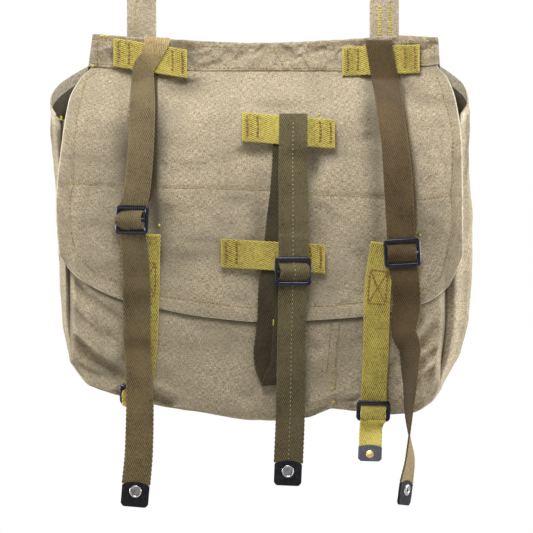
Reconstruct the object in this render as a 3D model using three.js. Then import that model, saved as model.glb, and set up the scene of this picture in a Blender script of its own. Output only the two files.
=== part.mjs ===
// A canvas shoulder bag: a sewn pouch with a flap, a top band and a whole shoulder strap, and webbing
// straps with slide buckles on its front. Millimetres, +X to the right of someone facing the bag, +Y away
// from them, +Z up. The origin is under the crown of the shoulder strap, where the bag hangs.
// A drop is a distance below the bag's top edge. An off is a distance out from the flap or the band.

import * as THREE from 'three';
import { mergeVertices } from 'three/addons/utils/BufferGeometryUtils.js';

const HANG = 440; // crown of the shoulder strap down to the bag's top edge
const CANVAS = 1.6; // single canvas wall
const DOUBLED = 2.5; // folded canvas of the band and the shoulder strap
const WEBBING = 1.5;
const GAP = 0.3; // between pieces that touch
const SEAM_GAP = 0.97; // between the panels' walls along a seam, where both are curved

const STRAP_WIDTH = 25; // shoulder strap and olive straps
const KEEPER_WIDTH = 24;
const CLOSURE_WIDTH = 22;
const STRAP_SPACING = 207; // between the roots of the shoulder strap
const ROOT_DROP = 35; // lower ends of the shoulder strap
const TWIST_LENGTH = 260; // each leg of the strap turns flat to crosswise over this length
const MOUTH_DROP = 70; // front panel's upper edge
const GUSSET_BACK_DROP = 37; // where the gusset meets the back panel's edge
const TUCK_DROP = 16; // flap's upper edge, sewn in behind the band
const BACK_TUCK = 1; // back panel's upper edge below the band's

const BACK_FACE = -DOUBLED / 2 - GAP; // back panel's outer face at the top edge
const FLAP_FACE = BACK_FACE - CANVAS - GAP - CANVAS; // flap's front where it is sewn in
const BAND_FACE = FLAP_FACE - GAP - DOUBLED; // front of the top band

// Sides of the panels at each drop, and the depth of the pouch
const FRONT_SIDES = [
  { drop: 70, left: -172, right: 163 },
  { drop: 138, left: -167.5, right: 159 },
  { drop: 194, left: -165, right: 155.5 },
  { drop: 240, left: -164.5, right: 155.5 },
  { drop: 274, left: -163, right: 152 },
  { drop: 326, left: -160, right: 147 },
];
const BACK_SIDES = [
  { drop: 0, left: -145, right: 149.5 },
  { drop: 26, left: -149, right: 151 },
  { drop: 60, left: -160, right: 158 },
  { drop: 140, left: -166, right: 161 },
  { drop: 240, left: -164, right: 157 },
  { drop: 326, left: -160, right: 147 },
];
const POUCH_DEPTH = [
  { drop: 0, front: -36, back: BACK_FACE },
  { drop: 56, front: -36, back: BACK_FACE },
  { drop: 85, front: -37, back: 8 },
  { drop: 140, front: -43, back: 20 },
  { drop: 220, front: -46, back: 24 },
  { drop: 280, front: -42, back: 20 },
  { drop: 326, front: -28, back: 8 },
];
const FRONT_SET_BACK = 12; // how far the front panel's side edges lie behind its middle
const BACK_SET_FORWARD = 8;

// The sagging lower edge of the pouch, as a share of the way across
const POUCH_BOTTOM = [
  { across: 0, drop: 276 },
  { across: 0.05, drop: 296 },
  { across: 0.14, drop: 305 },
  { across: 0.3, drop: 316 },
  { across: 0.55, drop: 325.5 },
  { across: 0.64, drop: 323 },
  { across: 0.715, drop: 315 },
  { across: 0.86, drop: 320.5 },
  { across: 0.93, drop: 319 },
  { across: 0.98, drop: 310 },
  { across: 1, drop: 298 },
];

// How far the gusset bows out, from the left end of its mouth round the bottom to the right end
const GUSSET_BOW = [
  { along: 0, bow: 20 },
  { along: 0.1, bow: 10 },
  { along: 0.22, bow: 6.5 },
  { along: 0.29, bow: 3 },
  { along: 0.68, bow: 3 },
  { along: 0.76, bow: 13 },
  { along: 0.85, bow: 19 },
  { along: 0.93, bow: 16 },
  { along: 1, bow: 18 },
];
const GUSSET_LEFT_SHARE = 0.27; // share of the gusset's length down the left side
const GUSSET_RIGHT_SHARE = 0.3; // and up the right side

// Drape folds pressed into the front panel
const FOLDS = [
  { fromX: -164, fromDrop: 200, toX: -112, toDrop: 250, depth: 3, reach: 7 },
  { fromX: -163, fromDrop: 232, toX: -114, toDrop: 268, depth: 3.5, reach: 7 },
  { fromX: -161, fromDrop: 257, toX: -100, toDrop: 298, depth: 7, reach: 8 },
  { fromX: 126, fromDrop: 258, toX: 150, toDrop: 238, depth: 3, reach: 6 },
  { fromX: 118, fromDrop: 294, toX: 150, toDrop: 276, depth: 4, reach: 7 },
];

// The band's edges, the flap's sides, its hem and how far it stands forward
const BAND_EDGES = [
  { x: -149, top: -3.5, bottom: 24.6 },
  { x: -72, top: 1.7, bottom: 28 },
  { x: -5, top: 4.3, bottom: 28.5 },
  { x: 79, top: 0.9, bottom: 28.5 },
  { x: 116, top: -2, bottom: 26 },
  { x: 151, top: 0, bottom: 23 },
];
const FLAP_SIDES = [
  { drop: 16, left: -140, right: 146 },
  { drop: 26, left: -143, right: 150 },
  { drop: 34, left: -155, right: 157 },
  { drop: 53, left: -165, right: 164 },
  { drop: 89, left: -171, right: 169 },
  { drop: 143, left: -176, right: 170 },
  { drop: 190, left: -173, right: 170 },
];
const FLAP_HEM = [
  { across: 0, drop: 184 },
  { across: 0.026, drop: 198 },
  { across: 0.061, drop: 208 },
  { across: 0.152, drop: 222.5 },
  { across: 0.39, drop: 239 },
  { across: 0.5, drop: 242 },
  { across: 0.735, drop: 238 },
  { across: 0.896, drop: 227 },
  { across: 0.96, drop: 213 },
  { across: 1, drop: 185 },
];
const FLAP_DEPTH = [
  { drop: 0, y: FLAP_FACE },
  { drop: 32, y: FLAP_FACE },
  { drop: 43, y: -17 },
  { drop: 55, y: -30 },
  { drop: 70, y: -39.5 },
  { drop: 90, y: -45 },
  { drop: 130, y: -48.5 },
  { drop: 180, y: -51 },
  { drop: 245, y: -52.5 },
];
const FLAP_FLAT = 115; // the flap is flat this far either side of the middle
const FLAP_HALF = 175;
const FLAP_ROLL = 14; // how far its side edges roll back
const FLAP_CROWDING = 1.5; // crowds the flap's rows towards its top, where it bends most

// Slide buckles
const WIRE = 2; // thickness of a frame
const BAR = 3; // height of a bar
const BUCKLE_CORNER = 3.4;
const BUCKLE_WIDTH = 31.4;
const BUCKLE_SLOT = 26.2;
const BAR_PITCH = 10.5; // between the bars of a three-bar buckle
const CLOSURE_BUCKLE_WIDTH = 29;
const CLOSURE_SLOT = 23.4;
const CLOSURE_PITCH = 14; // between the two bars of a closure buckle
const WEAVE = 2.6; // how far webbing stands off the middle of the frame as it passes a bar
const ANCHOR = 2.05; // the same for the end sewn behind the middle bar
const LEFT_BUCKLE = { x: -109, drop: 155.5, lean: -0.04, level: 5.8 };
const CENTRE_BUCKLE = { x: 25.5, drop: 199.3, lean: 0, level: 8.1 };
const RIGHT_BUCKLE = { x: 118, drop: 183.6, lean: 0.06, level: 7.3 };
const LEFT_CLOSURE_BUCKLE = { x: -107, drop: 303, lean: 0.03, level: 3.2 };
const RIGHT_CLOSURE_BUCKLE = { x: 93.5, drop: 317.5, lean: -0.04, level: 3.2 };

// End tabs and what is left of a closure strap below its buckle
const STRAP_TIP = { width: 24.5, height: 20, thickness: 2.2 };
const CLOSURE_TIP = { width: 20, height: 13, thickness: 2 };
const TIP_CORNER = 3;
const CLOSURE_TAIL = 30;

// Layers of webbing over the flap or the band, from the inside out
const UNDER_KEEPER = 1.2;
const KEEPER_SEWN = 1.25;
const KEEPER_RAISED = 3.5;
const OVER_KEEPER = 5.8;
const OVER_STRAP = 3.3;

const OLIVE = '#5d5333';
const DARK_OLIVE = '#48462b';
const YELLOW_GREEN = '#a89b3d';
const CANVAS_KHAKI = '#a0957c';
const BLACK = '#1c1c22';

const STEP = 1e-3; // for slopes taken along a surface or a path
const EDGE_STEP = 0.02; // the same along the pouch's edge, wide enough to round its corners
const bag = new THREE.Group();

function addPiece(name, geometry, color, roughness = 0.95, metalness = 0) {
  const material = new THREE.MeshStandardMaterial({ color, roughness, metalness });
  const piece = new THREE.Mesh(geometry, material);
  piece.name = name;
  bag.add(piece);
  return piece;
}

// Reads one column of a table as a smooth curve along another column, level at its peaks and dips.
function curveOf(rows, along, column) {
  const last = rows.length - 1;
  const slope = (i) => (rows[i + 1][column] - rows[i][column]) / (rows[i + 1][along] - rows[i][along]);
  const tangent = (i) => {
    const before = slope(Math.max(i - 1, 0));
    const after = slope(Math.min(i, last - 1));
    return before * after > 0 ? (2 * before * after) / (before + after) : 0;
  };
  return (at) => {
    const held = THREE.MathUtils.clamp(at, rows[0][along], rows[last][along]);
    let i = 0;
    while (i < last - 1 && held > rows[i + 1][along]) i += 1;
    const span = rows[i + 1][along] - rows[i][along];
    const u = (held - rows[i][along]) / span;
    const start = (1 + 2 * u) * (1 - u) ** 2 * rows[i][column] + u * (1 - u) ** 2 * span * tangent(i);
    const end = u * u * (3 - 2 * u) * rows[i + 1][column] + u * u * (u - 1) * span * tangent(i + 1);
    return start + end;
  };
}

const place = (x, y, drop) => new THREE.Vector3(x, y, -HANG - drop);
const eased = (u) => 0.5 - 0.5 * Math.cos(Math.PI * u);

// A wall around a surface: a box one cell thick whose vertices are moved out and in from the surface.
function wall(surface, across, along, outward, inward) {
  const box = new THREE.BoxGeometry(1, 1, 1, across, along, 1);
  box.deleteAttribute('normal');
  box.deleteAttribute('uv');
  const geometry = mergeVertices(box);
  const spots = geometry.attributes.position;
  for (let i = 0; i < spots.count; i += 1) {
    const s = spots.getX(i) + 0.5;
    const t = 0.5 - spots.getY(i);
    const lift = spots.getZ(i) > 0 ? outward : -inward;
    const sideways = surface(Math.min(s + STEP, 1), t).sub(surface(Math.max(s - STEP, 0), t));
    const upward = surface(s, Math.max(t - STEP, 0)).sub(surface(s, Math.min(t + STEP, 1)));
    const normal = sideways.cross(upward).normalize();
    const spot = surface(s, t).addScaledVector(normal, lift);
    spots.setXYZ(i, spot.x, spot.y, spot.z);
  }
  geometry.computeVertexNormals();
  return geometry;
}

// Pouch: front panel, back panel and gusset
const frontLeft = curveOf(FRONT_SIDES, 'drop', 'left');
const frontRight = curveOf(FRONT_SIDES, 'drop', 'right');
const backLeft = curveOf(BACK_SIDES, 'drop', 'left');
const backRight = curveOf(BACK_SIDES, 'drop', 'right');
const frontDepth = curveOf(POUCH_DEPTH, 'drop', 'front');
const backDepth = curveOf(POUCH_DEPTH, 'drop', 'back');
const pouchBottom = curveOf(POUCH_BOTTOM, 'across', 'drop');
const gussetBow = curveOf(GUSSET_BOW, 'along', 'bow');
const bandTop = curveOf(BAND_EDGES, 'x', 'top');
const bandBottom = curveOf(BAND_EDGES, 'x', 'bottom');

function foldDepth(x, drop) {
  let depth = 0;
  for (const fold of FOLDS) {
    const run = new THREE.Vector2(fold.toX - fold.fromX, fold.toDrop - fold.fromDrop);
    const away = new THREE.Vector2(x - fold.fromX, drop - fold.fromDrop);
    const along = THREE.MathUtils.clamp(away.dot(run) / run.lengthSq(), 0, 1);
    const distance = away.addScaledVector(run, -along).length();
    depth += fold.depth * Math.exp(-((distance / fold.reach) ** 2)) * (1 - along * along);
  }
  return depth;
}

function frontAt(s, drop) {
  const x = THREE.MathUtils.lerp(frontLeft(drop), frontRight(drop), s);
  const edge = Math.abs(2 * s - 1);
  const bulge = frontDepth(drop) + FRONT_SET_BACK * edge ** 3;
  return place(x, bulge + foldDepth(x, drop) * (1 - edge ** 12), drop);
}

function backAt(s, drop) {
  const x = THREE.MathUtils.lerp(backLeft(drop), backRight(drop), s);
  const edge = Math.abs(2 * s - 1);
  const free = THREE.MathUtils.smoothstep(drop, ROOT_DROP, 2 * MOUTH_DROP);
  return place(x, backDepth(drop) - BACK_SET_FORWARD * free * edge ** 3, drop);
}

function addFrontPanel() {
  const surface = (u, t) => {
    const s = eased(u);
    return frontAt(s, THREE.MathUtils.lerp(MOUTH_DROP, pouchBottom(s), t));
  };
  addPiece('front_panel', wall(surface, 22, 15, 0, CANVAS), CANVAS_KHAKI);
}

function addBackPanel() {
  const surface = (u, t) => {
    const s = eased(1 - u);
    const top = bandTop(THREE.MathUtils.lerp(backLeft(0), backRight(0), s)) + BACK_TUCK;
    return backAt(s, THREE.MathUtils.lerp(top, pouchBottom(s), t));
  };
  addPiece('back_panel', wall(surface, 14, 15, 0, CANVAS), CANVAS_KHAKI);
}

// A point on a panel's edge, from its left top down, along the bottom and up to its right top.
function edgeAt(panel, topDrop, along) {
  const rightStart = 1 - GUSSET_RIGHT_SHARE;
  if (along < GUSSET_LEFT_SHARE) {
    return panel(0, THREE.MathUtils.lerp(topDrop, pouchBottom(0), along / GUSSET_LEFT_SHARE));
  }
  if (along > rightStart) {
    return panel(1, THREE.MathUtils.lerp(pouchBottom(1), topDrop, (along - rightStart) / GUSSET_RIGHT_SHARE));
  }
  const s = (along - GUSSET_LEFT_SHARE) / (rightStart - GUSSET_LEFT_SHARE);
  return panel(s, pouchBottom(s));
}

function addGusset() {
  const seam = CANVAS + SEAM_GAP;
  const surface = (s, t) => {
    const front = edgeAt(frontAt, MOUTH_DROP, t);
    const back = edgeAt(backAt, GUSSET_BACK_DROP, t);
    const ahead = edgeAt(frontAt, MOUTH_DROP, Math.min(t + EDGE_STEP, 1));
    const behind = edgeAt(frontAt, MOUTH_DROP, Math.max(t - EDGE_STEP, 0));
    const outward = new THREE.Vector3(ahead.z - behind.z, 0, behind.x - ahead.x).normalize();
    front.y += seam;
    back.y -= seam;
    return back.lerp(front, s).addScaledVector(outward, 4 * s * (1 - s) * gussetBow(t));
  };
  addPiece('gusset', wall(surface, 4, 50, 0, CANVAS), CANVAS_KHAKI);
}

// Flap and top band
const flapLeft = curveOf(FLAP_SIDES, 'drop', 'left');
const flapRight = curveOf(FLAP_SIDES, 'drop', 'right');
const flapHem = curveOf(FLAP_HEM, 'across', 'drop');
const flapDepth = curveOf(FLAP_DEPTH, 'drop', 'y');

function flapY(x, drop) {
  const beyond = Math.max(0, Math.abs(x) - FLAP_FLAT) / (FLAP_HALF - FLAP_FLAT);
  return flapDepth(drop) + FLAP_ROLL * beyond ** 2 * THREE.MathUtils.smoothstep(drop, ROOT_DROP, MOUTH_DROP);
}

function addFlap() {
  const surface = (u, t) => {
    const s = eased(u);
    const drop = THREE.MathUtils.lerp(TUCK_DROP, flapHem(s), t ** FLAP_CROWDING);
    const x = THREE.MathUtils.lerp(flapLeft(drop), flapRight(drop), s);
    return place(x, flapY(x, drop), drop);
  };
  addPiece('flap', wall(surface, 20, 20, 0, CANVAS), CANVAS_KHAKI);
}

function addTopBand() {
  const ends = [BAND_EDGES[0].x, BAND_EDGES.at(-1).x];
  const surface = (s, t) => {
    const x = THREE.MathUtils.lerp(...ends, s);
    return place(x, BAND_FACE, THREE.MathUtils.lerp(bandTop(x), bandBottom(x), t));
  };
  addPiece('top_band', wall(surface, 20, 2, 0, DOUBLED), CANVAS_KHAKI);
}

// Shoulder strap: two upright legs and a half round, flat on the bag and crosswise at the crown
function addShoulderStrap() {
  const radius = STRAP_SPACING / 2;
  const crown = DOUBLED / 2;
  const leg = HANG + ROOT_DROP + crown - radius;
  const length = 2 * leg + Math.PI * radius;
  const centre = (t) => {
    const run = t * length;
    if (run < leg) return new THREE.Vector3(-radius, 0, crown - radius - leg + run);
    if (run > length - leg) return new THREE.Vector3(radius, 0, crown - radius - leg + (length - run));
    const angle = (run - leg) / radius;
    return new THREE.Vector3(-radius * Math.cos(angle), 0, crown - radius + radius * Math.sin(angle));
  };
  const surface = (s, t) => {
    const middle = centre(t);
    const run = Math.min(t, 1 - t) * length;
    const flat = 1 - THREE.MathUtils.smoothstep(run, leg - TWIST_LENGTH, leg);
    const along = centre(Math.min(t + STEP, 1)).sub(centre(Math.max(t - STEP, 0))).normalize();
    const across = new THREE.Vector3(0, 1, 0).applyAxisAngle(along, (flat * Math.PI) / 2);
    return middle.addScaledVector(across, (s - 0.5) * STRAP_WIDTH);
  };
  addPiece('shoulder_strap', wall(surface, 1, 68, DOUBLED / 2, DOUBLED / 2), CANVAS_KHAKI);
}

// Webbing. What it lies on is the band at the top, and the flap or the line below it further down.
const carrierY = (x, drop) => Math.min(BAND_FACE, flapY(x, drop));

// Follows rows of x, drop, off and turn, and gives the webbing's place and directions on the way.
function webbingPath(rows) {
  let run = 0;
  const stations = rows.map((row, i) => {
    const before = rows[Math.max(i - 1, 0)];
    run += Math.hypot(row.x - before.x, row.drop - before.drop, row.off - before.off);
    return { turn: 0, ...row, run };
  });
  const x = curveOf(stations, 'run', 'x');
  const drop = curveOf(stations, 'run', 'drop');
  const off = curveOf(stations, 'run', 'off');
  const turn = curveOf(stations, 'run', 'turn');
  const runAt = (t) => {
    const row = Math.min(Math.floor(t * (stations.length - 1)), stations.length - 2);
    return THREE.MathUtils.lerp(stations[row].run, stations[row + 1].run, t * (stations.length - 1) - row);
  };
  const centre = (at) => place(x(at), carrierY(x(at), drop(at)) - off(at), drop(at));
  return (t) => {
    const at = runAt(t);
    const reach = 0.2;
    const along = centre(Math.min(at + reach, run)).sub(centre(Math.max(at - reach, 0))).normalize();
    const across = new THREE.Vector3(1, 0, 0).addScaledVector(along, -along.x).normalize();
    across.applyAxisAngle(along, THREE.MathUtils.degToRad(turn(at)));
    return { centre: centre(at), along, across, outward: along.clone().cross(across) };
  };
}

function addStrap(name, rows, width, color) {
  const path = webbingPath(rows);
  const surface = (s, t) => {
    const { centre, across } = path(t);
    return centre.addScaledVector(across, (s - 0.5) * width);
  };
  const stations = 4 * (rows.length - 1);
  addPiece(name, wall(surface, 1, stations, WEBBING / 2, WEBBING / 2), color);
  return path(1);
}

// A keeper is sewn down at both ends and raised in the middle, where the strap runs under it.
function addKeeper(name, { startX, startDrop, endX, endDrop, raisedFrom, raisedTo }) {
  const ramp = 5;
  const rows = [
    { x: startX, off: KEEPER_SEWN },
    { x: raisedFrom - ramp, off: KEEPER_SEWN },
    { x: raisedFrom, off: KEEPER_RAISED },
    { x: raisedTo, off: KEEPER_RAISED },
    { x: raisedTo + ramp, off: KEEPER_SEWN },
    { x: endX, off: KEEPER_SEWN },
  ];
  const stretches = rows.length - 1;
  const off = curveOf(rows, 'x', 'off');
  const surface = (s, t) => {
    const row = Math.min(Math.floor(s * stretches), stretches - 1);
    const x = THREE.MathUtils.lerp(rows[row].x, rows[row + 1].x, s * stretches - row);
    const middle = THREE.MathUtils.mapLinear(x, startX, endX, startDrop, endDrop);
    const drop = middle + (t - 0.5) * KEEPER_WIDTH;
    return place(x, carrierY(x, drop) - off(x), drop);
  };
  addPiece(name, wall(surface, 3 * stretches, 5, WEBBING / 2, WEBBING / 2), YELLOW_GREEN);
}

// Front layer through a three-bar buckle: behind the top bar, over the middle one, behind the last.
function throughBuckle({ x, drop, lean, level }) {
  return [-1, 0, 1].map((bar) => ({
    x: x + bar * BAR_PITCH * lean,
    drop: drop + bar * BAR_PITCH,
    off: level + (bar === 0 ? WEAVE : -WEAVE),
  }));
}

// Through a two-bar buckle: behind the top bar and over the lower one.
function throughClosureBuckle({ x, drop, lean, level }) {
  return [-0.5, 0.5].map((bar) => ({
    x: x + bar * CLOSURE_PITCH * lean,
    drop: drop + bar * CLOSURE_PITCH,
    off: level + Math.sign(bar) * WEAVE,
  }));
}

function roundedRectangle(width, height, radius) {
  const outline = new THREE.Shape();
  const right = width / 2;
  const top = height / 2;
  outline.absarc(right - radius, top - radius, radius, 0, Math.PI / 2);
  outline.absarc(radius - right, top - radius, radius, Math.PI / 2, Math.PI);
  outline.absarc(radius - right, radius - top, radius, Math.PI, 1.5 * Math.PI);
  outline.absarc(right - radius, radius - top, radius, 1.5 * Math.PI, 2 * Math.PI);
  return outline;
}

function slab(outline, thickness) {
  const options = { depth: thickness, bevelEnabled: false, curveSegments: 2 };
  const geometry = new THREE.ExtrudeGeometry(outline, options);
  return geometry.translate(0, 0, -thickness / 2);
}

function slot(width, height, middle) {
  const hole = new THREE.Path();
  hole.moveTo(-width / 2, middle - height / 2);
  hole.lineTo(width / 2, middle - height / 2);
  hole.lineTo(width / 2, middle + height / 2);
  hole.lineTo(-width / 2, middle + height / 2);
  hole.closePath();
  return hole;
}

// Turns and moves a piece drawn flat, X across and Y up, to a place with given directions.
function setDown(piece, centre, across, along, outward) {
  const turn = new THREE.Matrix4().makeBasis(across, along.clone().negate(), outward);
  piece.applyMatrix4(turn.setPosition(centre));
}

function addBuckle(name, buckle, width, slotWidth, pitch, middles) {
  const height = 2 * Math.max(...middles.map(Math.abs)) + pitch + BAR;
  const outline = roundedRectangle(width, height, BUCKLE_CORNER);
  outline.holes = middles.map((middle) => slot(slotWidth, pitch - BAR, middle));
  const piece = addPiece(name, slab(outline, WIRE), BLACK, 0.45, 0.6);
  const { x, drop, lean, level } = buckle;
  const at = (step) => place(x + step * lean, carrierY(x + step * lean, drop + step) - level, drop + step);
  const along = at(pitch).sub(at(-pitch)).normalize();
  const across = new THREE.Vector3(1, 0, 0).addScaledVector(along, -along.x).normalize();
  setDown(piece, at(0), across, along, along.clone().cross(across));
}

// A tab that ends a strap, and a snap fastener on one of its faces.
function addTip(name, end, { width, height, thickness }) {
  const piece = addPiece(name, slab(roundedRectangle(width, height, TIP_CORNER), thickness), BLACK, 0.6);
  const centre = end.centre.clone().addScaledVector(end.along, height / 2 + GAP);
  setDown(piece, centre, end.across, end.along, end.outward);
  return { ...end, centre, thickness };
}

const STUD = [[0, 0], [5, 0], [5, 0.7], [4, 1.2], [3, 1.2], [2.8, 2.2], [3.1, 2.7], [2.2, 3.4], [0, 3.6]];
const RING = [[2.2, 0], [5.2, 0], [5.2, 0.8], [4.4, 1.7], [3, 1.7], [2.2, 0.9], [2.2, 0]];
const EYELET = [[0, 0], [4.2, 0], [4.2, 0.6], [3.2, 1.1], [0, 1.2]];

function addSnap(name, tip, { profile, side, rise, color }) {
  const points = profile.map(([radius, height]) => new THREE.Vector2(radius, height));
  const geometry = new THREE.LatheGeometry(points, 14).rotateX(Math.PI / 2);
  const piece = addPiece(name, geometry, color, 0.3, 1);
  const outward = tip.outward.clone().multiplyScalar(side);
  const across = tip.across.clone().multiplyScalar(side);
  const seat = tip.centre.clone().addScaledVector(outward, tip.thickness / 2 + GAP);
  setDown(piece, seat.addScaledVector(tip.along, -rise), across, tip.along, outward);
}

// Up behind a keeper, over its top edge and down in front of it, leaning a little on the way. Below the
// keepers of the band, one edge of the front layer stands off the flap.
function overKeeper({ lowX, highX, foldX, topDrop, bottomDrop }) {
  const shoulder = topDrop + 3;
  return [
    { x: lowX, drop: bottomDrop, off: UNDER_KEEPER },
    { x: highX, drop: topDrop + 9, off: UNDER_KEEPER },
    { x: foldX, drop: shoulder, off: UNDER_KEEPER },
    { x: foldX, drop: topDrop, off: (UNDER_KEEPER + OVER_KEEPER) / 2 },
    { x: foldX, drop: shoulder, off: OVER_KEEPER },
    { x: highX, drop: topDrop + 9, off: OVER_KEEPER },
    { x: lowX, drop: bottomDrop, off: OVER_KEEPER },
  ];
}

// The end of a strap that comes from above and is sewn behind the middle bar of its buckle
function anchoredEnd({ x, drop, lean, level }) {
  return [
    { x, drop: drop + 1.5, off: level - ANCHOR },
    { x: x - 4 * lean, drop: drop - 4, off: level - ANCHOR },
    { x: x - BAR_PITCH * lean, drop: drop - BAR_PITCH, off: level - ANCHOR - WEAVE + 0.3 },
  ];
}

function leftStrapRows() {
  return [
    ...anchoredEnd(LEFT_BUCKLE),
    { x: -102, drop: 125, off: UNDER_KEEPER },
    { x: -102, drop: 85, off: UNDER_KEEPER },
    { x: -102, drop: 62, off: 2 },
    { x: -102, drop: 45, off: 2.3 },
    ...overKeeper({ lowX: -102.5, highX: -94.5, foldX: -91.5, topDrop: 0.2, bottomDrop: 31 }),
    { x: -103, drop: 45, off: 10.2, turn: 28 },
    { x: -103, drop: 62, off: 10.2, turn: 28 },
    { x: -103.5, drop: 85, off: 9.2, turn: 28 },
    { x: -106, drop: 115, off: 5.6, turn: 10 },
    { x: -108, drop: 135, off: OVER_STRAP },
    ...throughBuckle(LEFT_BUCKLE),
    { x: -110, drop: 182, off: 3.2 },
    { x: -109, drop: 240, off: 3.2 },
    { x: -106, drop: 286, off: 7.2 },
    { x: -105, drop: 312, off: 7.4 },
    { x: -106, drop: 350, off: 6.5 },
    { x: -108, drop: 379.5, off: 6.5 },
  ];
}

// The centre strap leaves a slack loop below its buckle and runs up behind both keepers of the flap.
function centreStrapRows() {
  const { x, drop, level } = CENTRE_BUCKLE;
  return [
    { x, drop: drop - 2, off: level - ANCHOR },
    { x, drop: drop + 4.5, off: level - ANCHOR - 0.5 },
    { x, drop: drop + BAR_PITCH, off: 3.1 },
    { x: 25, drop: 218, off: 3 },
    { x: 22.5, drop: 238, off: 3 },
    { x: 20.5, drop: 262, off: 3 },
    { x: 17.5, drop: 284, off: 2.9 },
    { x: 12.5, drop: 294.5, off: 0.7 },
    { x: 7, drop: 284, off: -1.5 },
    { x: 4.8, drop: 264, off: -0.8 },
    { x: 7.4, drop: 243, off: UNDER_KEEPER },
    { x: 8.5, drop: 215, off: UNDER_KEEPER },
    { x: 12, drop: 187, off: UNDER_KEEPER },
    { x: 15.5, drop: 153, off: UNDER_KEEPER },
    { x: 18.2, drop: 132, off: UNDER_KEEPER },
    { x: 19.8, drop: 110, off: UNDER_KEEPER },
    ...overKeeper({ lowX: 21, highX: 25, foldX: 25.5, topDrop: 63.5, bottomDrop: 92 }),
    { x: 25.5, drop: 106, off: OVER_STRAP },
    { x: 25.5, drop: 140, off: OVER_STRAP },
    { x: 25.5, drop: 164, off: OVER_STRAP },
    { x: 25.5, drop: 172, off: OVER_KEEPER + 0.2 },
    ...throughBuckle(CENTRE_BUCKLE),
    { x: 24.5, drop: 235, off: 5 },
    { x: 23.8, drop: 262, off: 5 },
    { x: 23.5, drop: 286, off: 5.2 },
    { x: 23, drop: 325, off: 4 },
    { x: 21.5, drop: 360, off: 3.5 },
  ];
}

// The right strap's free end turns about its own length until its back shows.
function rightStrapRows() {
  return [
    ...anchoredEnd(RIGHT_BUCKLE),
    { x: 119, drop: 155, off: 2.4 },
    { x: 116.5, drop: 120, off: UNDER_KEEPER },
    { x: 112, drop: 85, off: UNDER_KEEPER },
    { x: 109, drop: 62, off: 2 },
    { x: 107, drop: 46, off: 2.3 },
    ...overKeeper({ lowX: 105, highX: 101.5, foldX: 100.5, topDrop: 2.5, bottomDrop: 33 }),
    { x: 107, drop: 46, off: 9.2, turn: -22 },
    { x: 109, drop: 62, off: 9.2, turn: -22 },
    { x: 111.5, drop: 85, off: 8.2, turn: -22 },
    { x: 114.5, drop: 120, off: 5.8, turn: -10 },
    { x: 116, drop: 152, off: 4.4 },
    ...throughBuckle(RIGHT_BUCKLE),
    { x: 121, drop: 220, off: 3.4 },
    { x: 120.5, drop: 245, off: 5, turn: 30 },
    { x: 124, drop: 266, off: 6, turn: 44 },
    { x: 124, drop: 291, off: 6, turn: 62 },
    { x: 123.5, drop: 321, off: 6, turn: 80 },
    { x: 124, drop: 342, off: 6, turn: 92 },
    { x: 124.5, drop: 356, off: 6, turn: 106 },
    { x: 122, drop: 378, off: 6, turn: 120 },
  ];
}

function closureRows(buckle, topX, topDrop, sewnX, sewnDrop) {
  const { x, drop, lean } = buckle;
  const lead = 1.5 * CLOSURE_PITCH;
  const clear = 1.15 * CLOSURE_PITCH;
  return [
    { x: topX, drop: topDrop, off: KEEPER_SEWN },
    { x: sewnX, drop: sewnDrop, off: KEEPER_SEWN },
    { x: (sewnX + x) / 2, drop: (sewnDrop + drop) / 2, off: KEEPER_SEWN },
    { x: x - lead * lean, drop: drop - lead, off: KEEPER_SEWN },
    ...throughClosureBuckle(buckle),
    { x: x + clear * lean, drop: drop + clear, off: 2.6 },
    { x: x + 2 * CLOSURE_TAIL * lean, drop: drop + CLOSURE_TAIL, off: 2.4 },
  ];
}

function addStrapWithTip(side, rows, color, snap) {
  const end = addStrap(`${side}_strap`, rows, STRAP_WIDTH, color);
  const tip = addTip(`${side}_tip`, end, STRAP_TIP);
  addSnap(`${side}_snap`, tip, snap);
}

function addClosure(side, rows, buckle, color) {
  const end = addStrap(`${side}_closure`, rows, CLOSURE_WIDTH, YELLOW_GREEN);
  addBuckle(`${side}_closure_buckle`, buckle, CLOSURE_BUCKLE_WIDTH, CLOSURE_SLOT, CLOSURE_PITCH, [0]);
  const tip = addTip(`${side}_closure_tip`, end, CLOSURE_TIP);
  addSnap(`${side}_closure_snap`, tip, { profile: EYELET, side: 1, rise: 0, color });
}

addFrontPanel();
addBackPanel();
addGusset();
addFlap();
addTopBand();
addShoulderStrap();

const BAND_LEFT = { startX: -127.5, startDrop: 12.3, endX: -64.6, endDrop: 22.5 };
const BAND_RIGHT = { startX: 67.6, startDrop: 20.4, endX: 133.5, endDrop: 17.9 };
const FLAP_UPPER = { startX: -17.9, startDrop: 76.5, endX: 61.2, endDrop: 82.9 };
const FLAP_LOWER = { startX: -35.7, startDrop: 183.6, endX: 52.7, endDrop: 188.7 };
addKeeper('band_keeper_left', { ...BAND_LEFT, raisedFrom: -118, raisedTo: -80 });
addKeeper('band_keeper_right', { ...BAND_RIGHT, raisedFrom: 86, raisedTo: 119 });
addKeeper('flap_keeper_upper', { ...FLAP_UPPER, raisedFrom: 5, raisedTo: 40 });
addKeeper('flap_keeper_lower', { ...FLAP_LOWER, raisedFrom: -4, raisedTo: 28 });

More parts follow.
